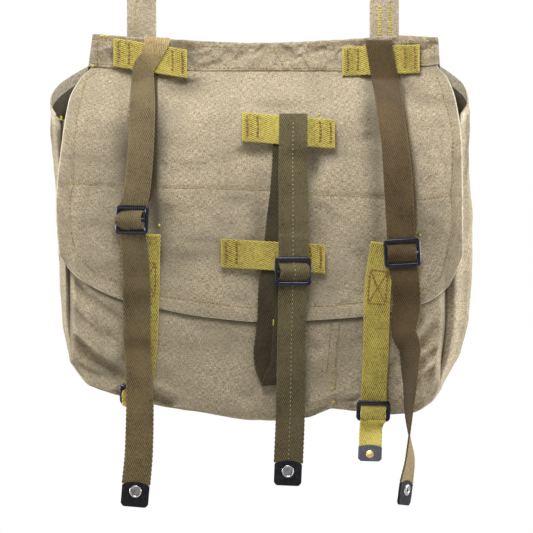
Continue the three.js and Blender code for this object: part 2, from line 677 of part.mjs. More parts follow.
addStrapWithTip('left', leftStrapRows(), OLIVE, { profile: STUD, side: 1, rise: 4, color: '#b9bcc0' });
addStrapWithTip('centre', centreStrapRows(), DARK_OLIVE, { profile: STUD, side: 1, rise: 3, color: '#b9bcc0' });
addStrapWithTip('right', rightStrapRows(), OLIVE, { profile: RING, side: -1, rise: 4, color: '#d8d8d6' });
const THREE_BARS = [-BAR_PITCH / 2, BAR_PITCH / 2];
addBuckle('left_buckle', LEFT_BUCKLE, BUCKLE_WIDTH, BUCKLE_SLOT, BAR_PITCH, THREE_BARS);
addBuckle('centre_buckle', CENTRE_BUCKLE, BUCKLE_WIDTH, BUCKLE_SLOT, BAR_PITCH, THREE_BARS);
addBuckle('right_buckle', RIGHT_BUCKLE, BUCKLE_WIDTH, BUCKLE_SLOT, BAR_PITCH, THREE_BARS);

addClosure('left', closureRows(LEFT_CLOSURE_BUCKLE, -98, 167.5, -99, 220), LEFT_CLOSURE_BUCKLE, '#c9a24a');
addClosure('right', closureRows(RIGHT_CLOSURE_BUCKLE, 102.5, 175, 97, 215), RIGHT_CLOSURE_BUCKLE, '#c9a24a');

export default bag;
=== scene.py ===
# A canvas shoulder bag as it hangs by its strap: a sewn pouch, a flap over its mouth, a band along its top
# edge, and webbing straps with slide buckles on the front. Tables are in millimetres: x to the right, y
# away from the viewer, drop down from the bag's top edge, off out from the flap or the band.
import bisect
import functools
import math

import bmesh
import bpy
from mathutils import Matrix, Vector, noise


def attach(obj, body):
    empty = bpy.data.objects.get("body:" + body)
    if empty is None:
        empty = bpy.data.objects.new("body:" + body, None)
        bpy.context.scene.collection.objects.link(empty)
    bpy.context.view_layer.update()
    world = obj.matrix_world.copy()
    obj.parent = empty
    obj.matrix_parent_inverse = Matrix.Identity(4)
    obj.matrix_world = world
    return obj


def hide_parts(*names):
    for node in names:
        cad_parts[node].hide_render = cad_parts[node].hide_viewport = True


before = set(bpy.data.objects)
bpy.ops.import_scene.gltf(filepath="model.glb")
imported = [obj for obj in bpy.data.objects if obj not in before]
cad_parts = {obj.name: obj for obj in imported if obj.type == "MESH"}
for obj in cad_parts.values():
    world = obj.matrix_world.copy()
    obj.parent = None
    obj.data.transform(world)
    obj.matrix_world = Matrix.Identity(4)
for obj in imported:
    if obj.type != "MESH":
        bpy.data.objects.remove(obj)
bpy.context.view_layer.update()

# Back panel. One piece of heavy cotton canvas, woven plain from khaki yarn with grey-green and dark flecks
# in it. It reaches up behind the top band, and the gusset is sewn round its other edges.
MM = 0.001
HANG = 440  # crown of the shoulder strap down to the bag's top edge
CANVAS = 1.6
BACK_FACE = -1.55  # y of the panel where it lies behind the band
BACK_TUCK = 1  # its upper edge below the band's
BACK_FREE = (35, 140)  # its side edges come forward between these drops
BACK_SET_FORWARD = 8
BACK_DENTS = [(1.6, 46, 3), (0.7, 17, 8)]  # depth, size, seed
BACK_SEWN = 6  # the higher, the nearer its edges its dents end
BACK_TURN = 3  # the higher, the nearer its edges it comes forward
BACK_SIDES = [  # drop, left, right
    (0, -145, 149.5),
    (26, -149, 151),
    (60, -160, 158),
    (140, -166, 161),
    (240, -164, 157),
    (326, -160, 147),
]
BACK_DEPTH = [(0, BACK_FACE), (56, BACK_FACE), (85, 8), (140, 20), (220, 24), (280, 20), (326, 8)]  # drop, y
POUCH_BOTTOM = [  # share of the way across, drop
    (0, 276),
    (0.05, 296),
    (0.14, 305),
    (0.3, 316),
    (0.55, 325.5),
    (0.64, 323),
    (0.715, 315),
    (0.86, 320.5),
    (0.93, 319),
    (0.98, 310),
    (1, 298),
]
BAND_EDGES = [  # x, top drop, bottom drop
    (-149, -3.5, 24.6),
    (-72, 1.7, 28),
    (-5, 4.3, 28.5),
    (79, 0.9, 28.5),
    (116, -2, 26),
    (151, 0, 23),
]


def lerp(start, end, share):
    return start + (end - start) * share


def rise(value, low, high):
    """0 below low, 1 above high and smooth between them."""
    share = min(max((value - low) / (high - low), 0), 1)
    return share * share * (3 - 2 * share)


def curve_of(rows, column=1):
    """Reads one column of a table as a smooth curve along its first column, level at peaks and dips."""
    places = [row[0] for row in rows]
    values = [row[column] for row in rows]
    slopes = [(values[i + 1] - values[i]) / (places[i + 1] - places[i]) for i in range(len(rows) - 1)]
    pairs = zip([slopes[0], *slopes], [*slopes, slopes[-1]])
    tangents = [2 * a * b / (a + b) if a * b > 0 else 0 for a, b in pairs]

    def at(place_on):
        held = min(max(place_on, places[0]), places[-1])
        i = min(bisect.bisect_right(places, held), len(places) - 1) - 1
        span = places[i + 1] - places[i]
        u = (held - places[i]) / span
        start = (1 + 2 * u) * (1 - u) ** 2 * values[i] + u * (1 - u) ** 2 * span * tangents[i]
        return start + u * u * (3 - 2 * u) * values[i + 1] + u * u * (u - 1) * span * tangents[i + 1]

    return at


def place(x, y, drop):
    return Vector((x, y, -HANG - drop)) * MM


def crumple(rows, x, drop, lift=0):
    """Soft dents of worn cloth, summed from rows of depth, size and seed. A lift of 1 keeps them above 0."""
    return sum(
        depth * (lift + noise.noise(Vector((x / size, drop / size, seed)))) for depth, size, seed in rows
    )


def linear(code):
    """An sRGB hex colour as linear red, green, blue and alpha."""
    shares = [int(code[i:i + 2], 16) / 255 for i in (1, 3, 5)]
    return (*(c / 12.92 if c <= 0.04045 else ((c + 0.055) / 1.055) ** 2.4 for c in shares), 1)


def add(tree, kind, inputs, out=0, **settings):
    """Adds a node with its settings, gives its inputs values or links, and gives back one of its outputs."""
    made = tree.nodes.new("ShaderNode" + kind)
    for name, value in settings.items():
        setattr(made, name, value)
    for name, value in inputs.items():
        if isinstance(value, bpy.types.NodeSocket):
            tree.links.new(value, made.inputs[name])
        else:
            made.inputs[name].default_value = value
    return made.outputs[out]


def new_material(name):
    """An empty material's node tree, its shader and the material itself."""
    material = bpy.data.materials.new(name)
    material.use_nodes = True
    return material, material.node_tree, material.node_tree.nodes["Principled BSDF"]


YARN = 1.1  # drawn wider than the real 0.7 so that the weave shows
WEFT_SLUBS = (0.28, 1.7, 1)  # thick places in the yarns, per millimetre across and down
WARP_SLUBS = (1.7, 0.34, 1)
SOILED_PATCH = 42
FLECK_SPACING = 9
# Share of the pale edge colour on the gusset's hemmed band: painted light where light falls on the rim
# inside the mouth.
HEM_LIGHT = 0.6


def canvas_material(name, dark, light, soiled, rumple=(32, 8)):
    """Heathered cotton canvas: matt, its yarns spun from fibres of several khakis, so that it looks speckled
    close to and greyer in patches where it is soiled. A vertex attribute mixes in painted shade, darker
    in dents and beside straps, keepers and the flap's hem where shadows fall. Rumples give their size and
    depth."""
    material, tree, shader = new_material(name)
    threads = add(tree, "UVMap", {}, uv_map="threads", out="UV")
    weft = add(tree, "Mapping", {"Vector": threads, "Scale": WEFT_SLUBS})
    warp = add(tree, "Mapping", {"Vector": threads, "Scale": WARP_SLUBS})
    slubs_across = add(tree, "TexNoise", {"Vector": weft, "Scale": 1, "Detail": 2})
    slubs_down = add(tree, "TexNoise", {"Vector": warp, "Scale": 1, "Detail": 2})
    slubs = add(tree, "Math", {0: slubs_across, 1: slubs_down}, operation="ADD")
    heather = add(tree, "MapRange", {"Value": slubs, "From Min": 0.8, "From Max": 1.22})
    yarns = add(tree, "Mix", {0: heather, 6: linear(dark), 7: linear(light)}, data_type="RGBA", out=2)
    patches = add(tree, "TexNoise", {"Vector": threads, "Scale": 1 / SOILED_PATCH, "Detail": 5})
    dirt = add(tree, "MapRange", {"Value": patches, "From Min": 0.42, "From Max": 0.68})
    share = add(tree, "Math", {0: dirt, 1: 0.5}, operation="MULTIPLY")
    toned = add(tree, "Mix", {0: share, 6: yarns, 7: linear(soiled)}, data_type="RGBA", out=2)
    specks = add(tree, "TexVoronoi", {"Vector": threads, "Scale": 1 / FLECK_SPACING}, out="Distance")
    fleck = add(tree, "MapRange", {"Value": specks, "From Min": 0.09, "From Max": 0.05})
    flecked = add(tree, "Mix", {0: fleck, 6: toned, 7: linear("#5c5038")}, data_type="RGBA", out=2)
    # Painted shade: the attribute read here mixes in a dark khaki where shadows fall, in dents, beside
    # straps and keepers and under the flap's hem.
    hollow = add(tree, "Attribute", {}, attribute_name="painted_shade", out="Fac")
    shaded_canvas = add(tree, "Mix", {0: hollow, 6: flecked, 7: linear("#585243")}, data_type="RGBA", out=2)
    # Pale where edges are frayed, from wear, and on hemmed bands as painted light.
    edge = add(tree, "Attribute", {}, attribute_name="worn", out="Fac")
    fray = add(tree, "Math", {0: edge, 1: slubs}, operation="MULTIPLY")
    bare = add(tree, "MapRange", {"Value": fray, "From Min": 0.3, "From Max": 1.1})
    colour = add(tree, "Mix", {0: bare, 6: shaded_canvas, 7: linear("#ddd3bc")}, data_type="RGBA", out=2)
    tree.links.new(colour, shader.inputs["Base Color"])
    scale = (math.pi / YARN,) * 3
    turns = add(tree, "VectorMath", {0: threads, 1: scale}, operation="MULTIPLY")
    turn = add(tree, "SeparateXYZ", {0: turns}).node.outputs
    over = add(tree, "Math", {0: turn[0]}, operation="COSINE")
    under = add(tree, "Math", {0: turn[1]}, operation="COSINE")
    weave = add(tree, "Math", {0: over, 1: under}, operation="MULTIPLY")
    height = add(tree, "Math", {0: weave, 1: 0.35, 2: slubs}, operation="MULTIPLY_ADD")
    rumples = {"Vector": threads, "Scale": 1 / rumple[0], "Detail": 1.4, "Distortion": 0.4}
    creases = add(tree, "TexNoise", rumples)
    soft = add(tree, "Bump", {"Height": creases, "Strength": 0.8, "Distance": rumple[1] * MM})
    grain = {"Height": height, "Strength": 0.6, "Distance": 0.35 * MM, "Normal": soft}
    bump = add(tree, "Bump", grain)
    tree.links.new(bump, shader.inputs["Normal"])
    shader.inputs["Roughness"].default_value = 0.95
    shader.inputs["Specular IOR Level"].default_value = 0.15
    shader.inputs["Sheen Weight"].default_value = 0.1
    shader.inputs["Sheen Roughness"].default_value = 0.6
    return material


canvas = canvas_material("heathered cotton canvas", "#7b7058", "#c4b69d", "#827b69")
# The wrong side, seen only inside the pouch, is a little darker than the right side and drawn far darker
# still as painted shade of the pouch's inside.
shaded_wrong_side = canvas_material("wrong side of the canvas in painted shade", "#3a342a", "#574f41", "#3b362c")


def piece_of(name, mesh, material, slot, node=None):
    """Makes a finished mesh an object of the bag, in place of a CAD node where one is named."""
    data = bpy.data.meshes.new(name)
    mesh.to_mesh(data)
    mesh.free()
    data.shade_smooth()
    data.materials.append(material)
    made = bpy.data.objects.new(name, data)
    bpy.context.collection.objects.link(made)
    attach(made, "root")
    if node:
        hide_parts(node)
    return made


def unshaded(x, drop):
    """No painted shade anywhere."""
    return 0


def cloth(
    name, node, surface, across, along, size, fray,
    thickness=CANVAS, hem=0, right_side=canvas, inside=shaded_wrong_side, shade_at=unshaded,
):
    """Canvas on a surface of shares across and down, its UV in millimetres of cloth, its edges frayed."""
    mesh = bmesh.new()
    uv = mesh.loops.layers.uv.new("threads")
    worn = mesh.verts.layers.float.new("worn")
    painted_shade = mesh.verts.layers.float.new("painted_shade")
    bmesh.ops.create_grid(mesh, x_segments=across, y_segments=along, size=0.5)
    for face in mesh.faces:
        for corner in face.loops:
            spot = corner.vert.co
            corner[uv].uv = ((spot.x + 0.5) * size[0], (0.5 - spot.y) * size[1])
    for vert in mesh.verts:
        hemmed = 0.5 - abs(vert.co.y) < hem
        # Frayed edges are pale from wear; the hemmed band is made pale as painted light.
        vert[worn] = max(fray * vert.is_boundary, HEM_LIGHT * hemmed)
        vert.co = surface(vert.co.x + 0.5, 0.5 - vert.co.y)
        # Painted shade for this point, from the piece's own function.
        vert[painted_shade] = shade_at(vert.co.x / MM, -vert.co.z / MM - HANG)
    made = piece_of(name, mesh, right_side, "canvas", node)
    made.data.materials.append(inside)
    wall = made.modifiers.new("wall", "SOLIDIFY")
    wall.thickness = thickness * MM
    wall.offset = -1
    wall.material_offset = 1
    return made


back_left = curve_of(BACK_SIDES, 1)
back_right = curve_of(BACK_SIDES, 2)
back_depth = curve_of(BACK_DEPTH)
pouch_bottom = curve_of(POUCH_BOTTOM)
band_top = curve_of(BAND_EDGES, 1)
band_bottom = curve_of(BAND_EDGES, 2)


def back_at(share, drop):
    x = lerp(back_left(drop), back_right(drop), share)
    edge_on = abs(2 * share - 1)
    free = rise(drop, *BACK_FREE)
    dents = free * (1 - edge_on ** BACK_SEWN) * crumple(BACK_DENTS, x, drop)
    return place(x, back_depth(drop) - BACK_SET_FORWARD * free * edge_on ** BACK_TURN + dents, drop)


def back_surface(across, down):
    share = 1 - across
    top = band_top(lerp(back_left(0), back_right(0), share)) + BACK_TUCK
    return back_at(share, lerp(top, pouch_bottom(share), down))


back_panel = cloth("canvas_back", "back_panel", back_surface, 110, 110, (325, 340), 0)

# Front panel. A piece of the same canvas with a felled seam down it. It hangs slack below the flap, with
# slanting folds at its lower corners and gathers where the seam meets the bottom. It is darkened by a
# painted shadow just below the flap's hem and by patches of painted shade.
MOUTH_DROP = 70
FRONT_SET_BACK = 12
FRONT_HOLLOW = 9  # how far its upper part sinks back behind the flap
FRONT_SIDES = [  # drop, left, right
    (70, -172, 163),
    (138, -167.5, 159),
    (194, -165, 155.5),
    (240, -164.5, 155.5),
    (274, -163, 152),
    (326, -160, 147),
]
FRONT_DEPTH = [  # drop, y
    (0, -36), (56, -36), (85, -37), (140, -43), (200, -47), (245, -48.8), (275, -49.5), (302, -49.6),
    (316, -49), (323, -47), (326, -44),
]
FRONT_DENTS = [(0.9, 34, 5), (0.5, 13, 2), (0.15, 5, 29)]
FRONT_TURN = 6
FRONT_FREE = 10  # its dents fade out this near its edges
HOLLOW_FADE = (110, 200)
FOLDS = [  # start, middle and end of the valley as x, drop; depth; reach above and below it; swell above it
    ((-176, 190), (-146, 220), (-108, 248), 4.5, 4.5, 13, 2),
    ((-176, 218), (-148, 243), (-112, 266), 4, 4.5, 12, 2),
    ((-176, 241), (-141, 270), (-102, 291), 9, 3, 17, 3),
    ((-176, 268), (-148, 284), (-130, 291), 2.5, 2.5, 6, 1.5),
    ((-118, 300), (-92, 303), (-70, 313), 8, 3, 8, 2),
    ((30, 322), (46, 316), (59, 311), 4, 3, 5, 1),
    ((59, 307), (70, 308), (84, 307), 3.5, 2, 3, 1),
    ((60, 312), (70, 313), (82, 315), 3, 2, 3, 1),
    ((36, 258), (42, 264), (50, 268), 2, 4, 6, 0.8),
    ((126, 262), (136, 254), (150, 240), 2.6, 4, 6, 1.5),
    ((128, 276), (138, 270), (150, 263), 3, 3, 6, 2),
    ((122, 292), (136, 286), (150, 279), 3.5, 3, 7, 2),
    ((104, 282), (110, 278), (116, 274), 2, 4, 4, 0.5),
]
FOLD_REACH = 40
FOLD_START = (-0.1, 0.12)  # a fold deepens and fades out between these shares of its length
FOLD_END = (0.72, 1.02)
SWELL_PLACE = 2  # how far above a fold its swell stands, and how wide it is, in its reach above
SWELL_WIDTH = 1.4
SWELL_FADE = (-2, 10)  # a swell fades out between these drops from the flap's hem
SEAM_LINES = [  # two rows of stitches either side of the felled seam, each from the top down as x, drop
    [(58.6, 238), (58.1, 243), (55.3, 273), (54.4, 292)],
    [(65, 240), (64.6, 246.5), (62.1, 266), (61.6, 287), (60.9, 303)],
]
# Patches of painted shade on the front panel, under the flap's hem and along the seams into the gusset.
FRONT_SHADE = [  # x, drop, half width, half height, share
    (66, 250, 26, 22, 0.35),
    (-3, 268, 9, 26, 0.3),
    (-164.5, 245, 2.5, 42, 0.8),
    (153.5, 258, 2.5, 40, 0.8),
]
FLAP_HALF = 175
FLAP_SPAN = 345
FLAP_HEM = [  # share of the way across, drop
    (0, 184),
    (0.026, 198),
    (0.061, 208),
    (0.152, 222.5),
    (0.39, 239),
    (0.5, 242),
    (0.735, 238),
    (0.896, 227),
    (0.96, 213),
    (1, 185),
]
HEM_SHADOW = 0.75  # share of painted shadow on the canvas just below the flap's hem
UNDER_HEM_REACH = 5
SEAM_RISE = 0.7
SEAM_EDGE = 1
SEAM_TUCK = 9  # how far the panel's edges turn back into the gusset's seam, over how much of its width
SEAM_ROLL = 4.5
TUCK_FADE = 30
front_left = curve_of(FRONT_SIDES, 1)
front_right = curve_of(FRONT_SIDES, 2)
front_depth = curve_of(FRONT_DEPTH)
flap_hem = curve_of(FLAP_HEM)
seam_start = curve_of([(drop, x) for x, drop in SEAM_LINES[0]])
seam_end = curve_of([(drop, x) for x, drop in SEAM_LINES[1]])


def hollows(rows, x, drop, column=4):
    """Sums one column of a table of soft round hollows at a point."""
    total = 0
    for row in rows:
        away = ((x - row[0]) / row[2]) ** 2
        total += row[column] * math.exp(-away - ((drop - row[1]) / row[3]) ** 2)
    return total


def hem_at(x):
    """The drop of the flap's hem."""
    return flap_hem((x + FLAP_HALF) / FLAP_SPAN)


# Painted shade on the front panel: its patches, and a painted shadow just below the flap's hem.
def front_shade(x, drop):
    shadowed = 1 - rise(drop, hem_at(x), hem_at(x) + UNDER_HEM_REACH)
    return hollows(FRONT_SHADE, x, drop) + HEM_SHADOW * shadowed


def fold_depth(x, drop):
    """How far the folds press the panel back at a point."""
    total = 0
    spot = Vector((x, drop))
    for *corners, depth, above, below, swell in FOLDS:
        nearest = None
        for i in (0, 1):
            start = Vector(corners[i])
            run = Vector(corners[i + 1]) - start
            share = min(max((spot - start).dot(run) / run.length_squared, 0), 1)
            away = spot - start - run * share
            if nearest is None or away.length < nearest[0]:
                nearest = (away.length, away.y, (i + share) / 2)
        distance, side, along = nearest
        fade = rise(along, *FOLD_START) * (1 - rise(along, *FOLD_END)) if distance < FOLD_REACH else 0
        reach = below if side > 0 else above
        total += fade * depth * math.exp(-((distance / reach) ** 2))
        if side < 0:
            beside = (distance - SWELL_PLACE * above) / (SWELL_WIDTH * above)
            total -= fade * swell * math.exp(-(beside ** 2))
    return total


def front_plain(x, drop):
    """The panel's y without its folds and seams."""
    share = (x - front_left(drop)) / (front_right(drop) - front_left(drop))
    out = min(abs(2 * share - 1), 1) ** FRONT_TURN
    hollow = FRONT_HOLLOW * (1 - out) * (1 - rise(drop, *HOLLOW_FADE))
    return front_depth(drop) + FRONT_SET_BACK * out + hollow


def front_y(x, drop):
    from_edge = max(min(x - front_left(drop), front_right(drop) - x), 0)
    free = rise(from_edge, 0, FRONT_FREE)
    seam = rise(x, seam_start(drop) - SEAM_EDGE, seam_start(drop))
    seam -= rise(x, seam_end(drop), seam_end(drop) + SEAM_EDGE)
    dents = crumple(FRONT_DENTS, x, drop)
    folds = fold_depth(x, drop)
    if folds < 0:
        folds *= rise(drop - hem_at(x), *SWELL_FADE)
    corner = pouch_bottom(0 if x < 0 else 1)
    tuck = SEAM_TUCK * (1 - rise(from_edge, 0, SEAM_ROLL)) * (1 - rise(drop, corner - TUCK_FADE, corner))
    return front_plain(x, drop) + free * (folds + dents) + tuck - SEAM_RISE * seam


def front_at(share, drop):
    x = lerp(front_left(drop), front_right(drop), share)
    return place(x, front_y(x, drop), drop)


def front_surface(across, down):
    return front_at(across, lerp(MOUTH_DROP, pouch_bottom(across), down))


front_panel = cloth("canvas_front", "front_panel", front_surface, 180, 150, (325, 260), 0, shade_at=front_shade)


def thread_material(name, dark, light, patch=6, low=0, high=1):
    """Waxed cotton sewing thread: a soft shine along each stitch, and a dye that is uneven in patches."""
    material, tree, shader = new_material(name)
    spot = add(tree, "TexCoord", {}, out="Object")
    dye = add(tree, "TexNoise", {"Vector": spot, "Scale": 1 / (patch * MM), "Detail": 2})
    shade = add(tree, "MapRange", {"Value": dye, "From Min": low, "From Max": high})
    colour = add(tree, "Mix", {0: shade, 6: linear(dark), 7: linear(light)}, data_type="RGBA", out=2)
    tree.links.new(colour, shader.inputs["Base Color"])
    shader.inputs["Roughness"].default_value = 0.7
    return material


tan_thread = thread_material("tan cotton thread", "#6b5628", "#a58a4c", 9, 0.35, 0.65)


def on_face(y_at):
    """A face given as y at x and drop, as a function that gives its points and their outward normals."""
    def at(x, drop):
        centre = place(x, y_at(x, drop), drop)
        right = place(x + 1, y_at(x + 1, drop), drop) - centre
        down = place(x, y_at(x, drop + 1), drop + 1) - centre
        return centre, down.cross(right).normalized()

    return at


def sew(name, lines, face, thread, slot="canvas", long=3, gap=0.6, wide=1):
    """Rows of stitches along lines of corners in millimetres, each a small spindle half sunk in the face."""
    mesh = bmesh.new()
    for line in lines:
        runs = [0]
        for corner, following in zip(line, line[1:]):
            runs.append(runs[-1] + math.dist(corner, following))
        first = curve_of([(run, corner[0]) for run, corner in zip(runs, line)])
        second = curve_of([(run, corner[1]) for run, corner in zip(runs, line)])
        for i in range(max(1, int((runs[-1] + gap) / (long + gap)))):
            start = i * (long + gap)
            head, normal = face(first(start), second(start))
            tail, _ = face(first(start + long), second(start + long))
            length = tail - head
            side = normal.cross(length).normalized()
            shape = Matrix((side * wide / 2 * MM, normal * wide / 2 * MM, length / 2)).transposed().to_4x4()
            shape.translation = (head + tail) / 2
            bmesh.ops.create_uvsphere(mesh, u_segments=6, v_segments=4, radius=1, matrix=shape)
    return piece_of(name, mesh, thread, slot)


sew("seam_stitching", SEAM_LINES, on_face(front_y), tan_thread, long=2.4, gap=0.8)

# Gusset. One long strip of canvas sewn between the two panels, down one side, along the bottom and up the
# other side. Its free ends are hemmed and bow out, which leaves the mouth open at both ends of the flap.
GUSSET_BACK_DROP = 24
SEAM_GAP = 0.1
GUSSET_LEFT_SHARE = 0.27
GUSSET_RIGHT_SHARE = 0.3
EDGE_STEP = 0.02
GUSSET_SWELL = 7  # how far it stands forward beside the front seam
SWELL_AT = 0.9  # where that is, as a share of its width, and how far it reaches
SWELL_REACH = 0.075
LEFT_TURN = (0.2, 0.28)  # shares along it where it turns in under the bag and up again
RIGHT_TURN = (0.68, 0.74)
GUSSET_CLOTH = (60, 900)
GUSSET_DENTS = [(1.2, 30, 6), (0.5, 12, 4)]
GUSSET_BOW = [  # share along from the left end of the mouth, how far it bows out
    (0, 20),
    (0.1, 10),
    (0.22, 7.5),
    (0.27, 1.5),
    (0.3, 0.4),
    (0.68, 0.4),
    (0.705, 3),
    (0.74, 15.5),
    (0.79, 20),
    (0.85, 20.5),
    (0.93, 16),
    (1, 18),
]
gusset_bow = curve_of(GUSSET_BOW)


def edge_at(panel, top_drop, along):
    """A point on a panel's edge, from its left top down, along the bottom and up to its right top."""
    right_start = 1 - GUSSET_RIGHT_SHARE
    if along < GUSSET_LEFT_SHARE:
        return panel(0, lerp(top_drop, pouch_bottom(0), along / GUSSET_LEFT_SHARE))
    if along > right_start:
        return panel(1, lerp(pouch_bottom(1), top_drop, (along - right_start) / GUSSET_RIGHT_SHARE))
    share = (along - GUSSET_LEFT_SHARE) / (right_start - GUSSET_LEFT_SHARE)
    return panel(share, pouch_bottom(share))


def gusset_surface(across, along):
    front = edge_at(front_at, MOUTH_DROP, along)
    back = edge_at(back_at, GUSSET_BACK_DROP, along)
    ahead = edge_at(front_at, MOUTH_DROP, min(along + EDGE_STEP, 1))
    behind = edge_at(front_at, MOUTH_DROP, max(along - EDGE_STEP, 0))
    outward = Vector((ahead.z - behind.z, 0, behind.x - ahead.x)).normalized()
    front.y += (CANVAS + SEAM_GAP) * MM
    back.y -= (CANVAS + SEAM_GAP) * MM
    arch = 4 * across * (1 - across)
    dents = crumple(GUSSET_DENTS, GUSSET_CLOTH[0] * across, GUSSET_CLOTH[1] * along)
    spot = back.lerp(front, across) + outward * arch * (gusset_bow(along) + dents) * MM
    upright = 1 - rise(along, *LEFT_TURN) + rise(along, *RIGHT_TURN)
    spot.y -= upright * GUSSET_SWELL * math.exp(-(((across - SWELL_AT) / SWELL_REACH) ** 2)) * MM
    return spot


gusset = cloth("canvas_gusset", "gusset", gusset_surface, 36, 420, (55, 870), 0.25, hem=0.012)

# Flap. One piece of canvas with a turned hem, sewn in behind the top band and hanging forward over the mouth
# and down the front. A row of stitches crosses its middle, and it has dents where the straps have pulled it.
# Painted shade darkens the dents and the strips beside the straps and keepers, where shadows fall.
TUCK_DROP = 16
FLAP_FACE = -5.05
ROLL_FREE = (35, 70)  # its side edges roll back between these drops
FLAP_FLAT = 115
FLAP_ROLL = 14
FLAP_SIDES = [  # drop, left, right
    (16, -143, 146),
    (26, -147, 150),
    (34, -155, 157),
    (53, -165, 164),
    (89, -171, 169),
    (143, -176, 170),
    (190, -173, 170),
]
FLAP_DEPTH = [  # drop, y
    (0, FLAP_FACE),
    (32, FLAP_FACE),
    (43, -17),
    (55, -30),
    (70, -39.5),
    (90, -45),
    (130, -48.5),
    (180, -51),
    (245, -52.5),
]
HEM_STITCHES = [  # x, drop
    (-143, 30), (-150.5, 36), (-154, 48.5), (-157.3, 65), (-159, 75), (-160.3, 94), (-160.8, 120),
    (-164, 144), (-163.2, 163), (-159.8, 179), (-152.2, 191), (-140.3, 202), (-127.1, 207.4), (-86, 220),
    (-43.4, 226), (-10.2, 229.5), (47.6, 228.7), (79, 226), (107, 222.7), (134.3, 215), (142.8, 211.7),
    (151.3, 203),
    (153.4, 195.5), (157.8, 177), (160.5, 161), (159.8, 132), (161, 110), (161.5, 88), (159, 70), (155, 56),
    (151.3, 41.7), (147, 30),
]
MIDDLE_STITCHES = [  # x, drop
    (-172.6, 127), (-165.8, 125), (-120.3, 127.5), (-72.3, 128.4), (5.1, 130.5), (38.7, 134.3), (79, 135.6),
    (96, 137), (128.4, 138.2), (162.4, 134.8), (168.5, 134.3),
]
DENTS = [  # x, drop, half width, half height, depth, share of painted shade
    (-68, 41, 18, 8, 9, 0.65),
    (-89, 84, 8, 36, 6, 0.5),
    (-91, 118, 4, 54, 0, 0.6),
    (-119, 92, 8, 40, 5, 0.5),
    (94, 72, 8, 34, 8, 0.55),
    (97, 92, 4, 40, 0, 0.35),
    (123, 44, 13, 8, 7, 0.4),
    (138, 55, 16, 6, 6, 0.3),
    (-6, 99, 12, 7, 4, 0.35),
    (43, 112, 6, 13, 7, 0.4),
    (42, 152, 5, 34, 0, 0.4),
    (14, 58, 22, 6, 3, 0.35),
    (-3, 160, 9, 36, 2.5, 0.55),
    (52, 160, 10, 30, 2.5, 0.1),
    (-74, 188, 18, 22, 1.5, 0.25),
    (-138, 116, 24, 48, 2, 0.28),
    (144, 166, 14, 30, 2, 0.3),
    (-88, 158, 10, 26, 2.5, 0.6),
    (-89, 186, 6, 16, 0, 0.6),
    (97, 150, 8, 32, 2.5, 0.5),
    (86, 192, 10, 20, 1, 0.4),
]
DENTS_FREE = (30, 40)  # these dents deepen between these drops, and its softer ones below them
FLAP_FREE = (34, 60)
FLAP_DENTS = [(2.0, 38, 7), (0.7, 13, 11), (0.15, 5, 31)]
GROOVE = 0.9  # how deep a row of stitches pulls the canvas in
GROOVE_REACH = 1.6
GROOVE_MEAN = 0.8
HEM_UNEVEN = [(0.6, 5, 1)]
MIDDLE_UNEVEN = [(0.6, 5, 9)]
HEM_PUCKERS = [(0.6, 6, 13)]
PUCKER_REACH = 7
PUFF = 2.2  # how far it swells just below the band
PUFF_DROP = 34
PUFF_REACH = 5
HUG = (70, 3)  # it bends to the front panel between these heights above its hem
HUG_STIFF = 0.5
HEM_GAP = 2.2
BEHIND_FLAP = 0.4  # the front panel gives way at least this far behind the flap's dents
flap_left = curve_of(FLAP_SIDES, 1)
flap_right = curve_of(FLAP_SIDES, 2)
flap_depth = curve_of(FLAP_DEPTH)
middle_drop = curve_of(MIDDLE_STITCHES)
hem_corners = [Vector(corner) for corner in HEM_STITCHES]


def flap_plain(x, drop):
    """The flap's y without its dents, which is what the webbing lies on."""
    beyond = max(0, abs(x) - FLAP_FLAT) / (FLAP_HALF - FLAP_FLAT)
    return flap_depth(drop) + FLAP_ROLL * beyond ** 2 * rise(drop, *ROLL_FREE)


def hem_distance(x, drop):
    spot = Vector((x, drop))
    nearest = FLAP_HALF
    for start, end in zip(hem_corners, hem_corners[1:]):
        run = end - start
        share = min(max((spot - start).dot(run) / run.length_squared, 0), 1)
        nearest = min(nearest, (spot - start - run * share).length)
    return nearest


def flap_y(x, drop):
    free = rise(drop, *FLAP_FREE)
    pressed = rise(drop, *DENTS_FREE) * hollows(DENTS, x, drop)
    from_hem = hem_distance(x, drop)
    from_middle = drop - middle_drop(x)
    hem_pull = GROOVE_MEAN + crumple(HEM_UNEVEN, x, drop)
    middle_pull = GROOVE_MEAN + crumple(MIDDLE_UNEVEN, x, drop)
    pulled = GROOVE * math.exp(-((from_hem / GROOVE_REACH) ** 2)) * hem_pull
    pulled += GROOVE * math.exp(-((from_middle / GROOVE_REACH) ** 2)) * middle_pull
    soft = crumple(FLAP_DENTS, x, drop, 1)
    puckers = crumple(HEM_PUCKERS, x, drop, 1) * math.exp(-((from_hem / PUCKER_REACH) ** 2))
    hugged = rise(drop, hem_at(x) - HUG[0], hem_at(x) - HUG[1])
    plain = flap_plain(x, drop)
    behind = max(0, front_plain(x, drop) - CANVAS - HEM_GAP - plain)
    puff = PUFF * math.exp(-(((drop - PUFF_DROP) / PUFF_REACH) ** 2))
    worn = pressed + free * (pulled + soft + puckers)
    return plain - puff + hugged * behind + worn * (1 - HUG_STIFF * hugged)


# Painted shade on the flap: in its dents and, from the rows with no depth, as painted shadow beside the
# straps.
def flap_shade(x, drop):
    return hollows(DENTS, x, drop, 5)


def flap_surface(across, down):
    drop = lerp(TUCK_DROP, flap_hem(across), down)
    x = lerp(flap_left(drop), flap_right(drop), across)
    return place(x, flap_y(x, drop), drop)


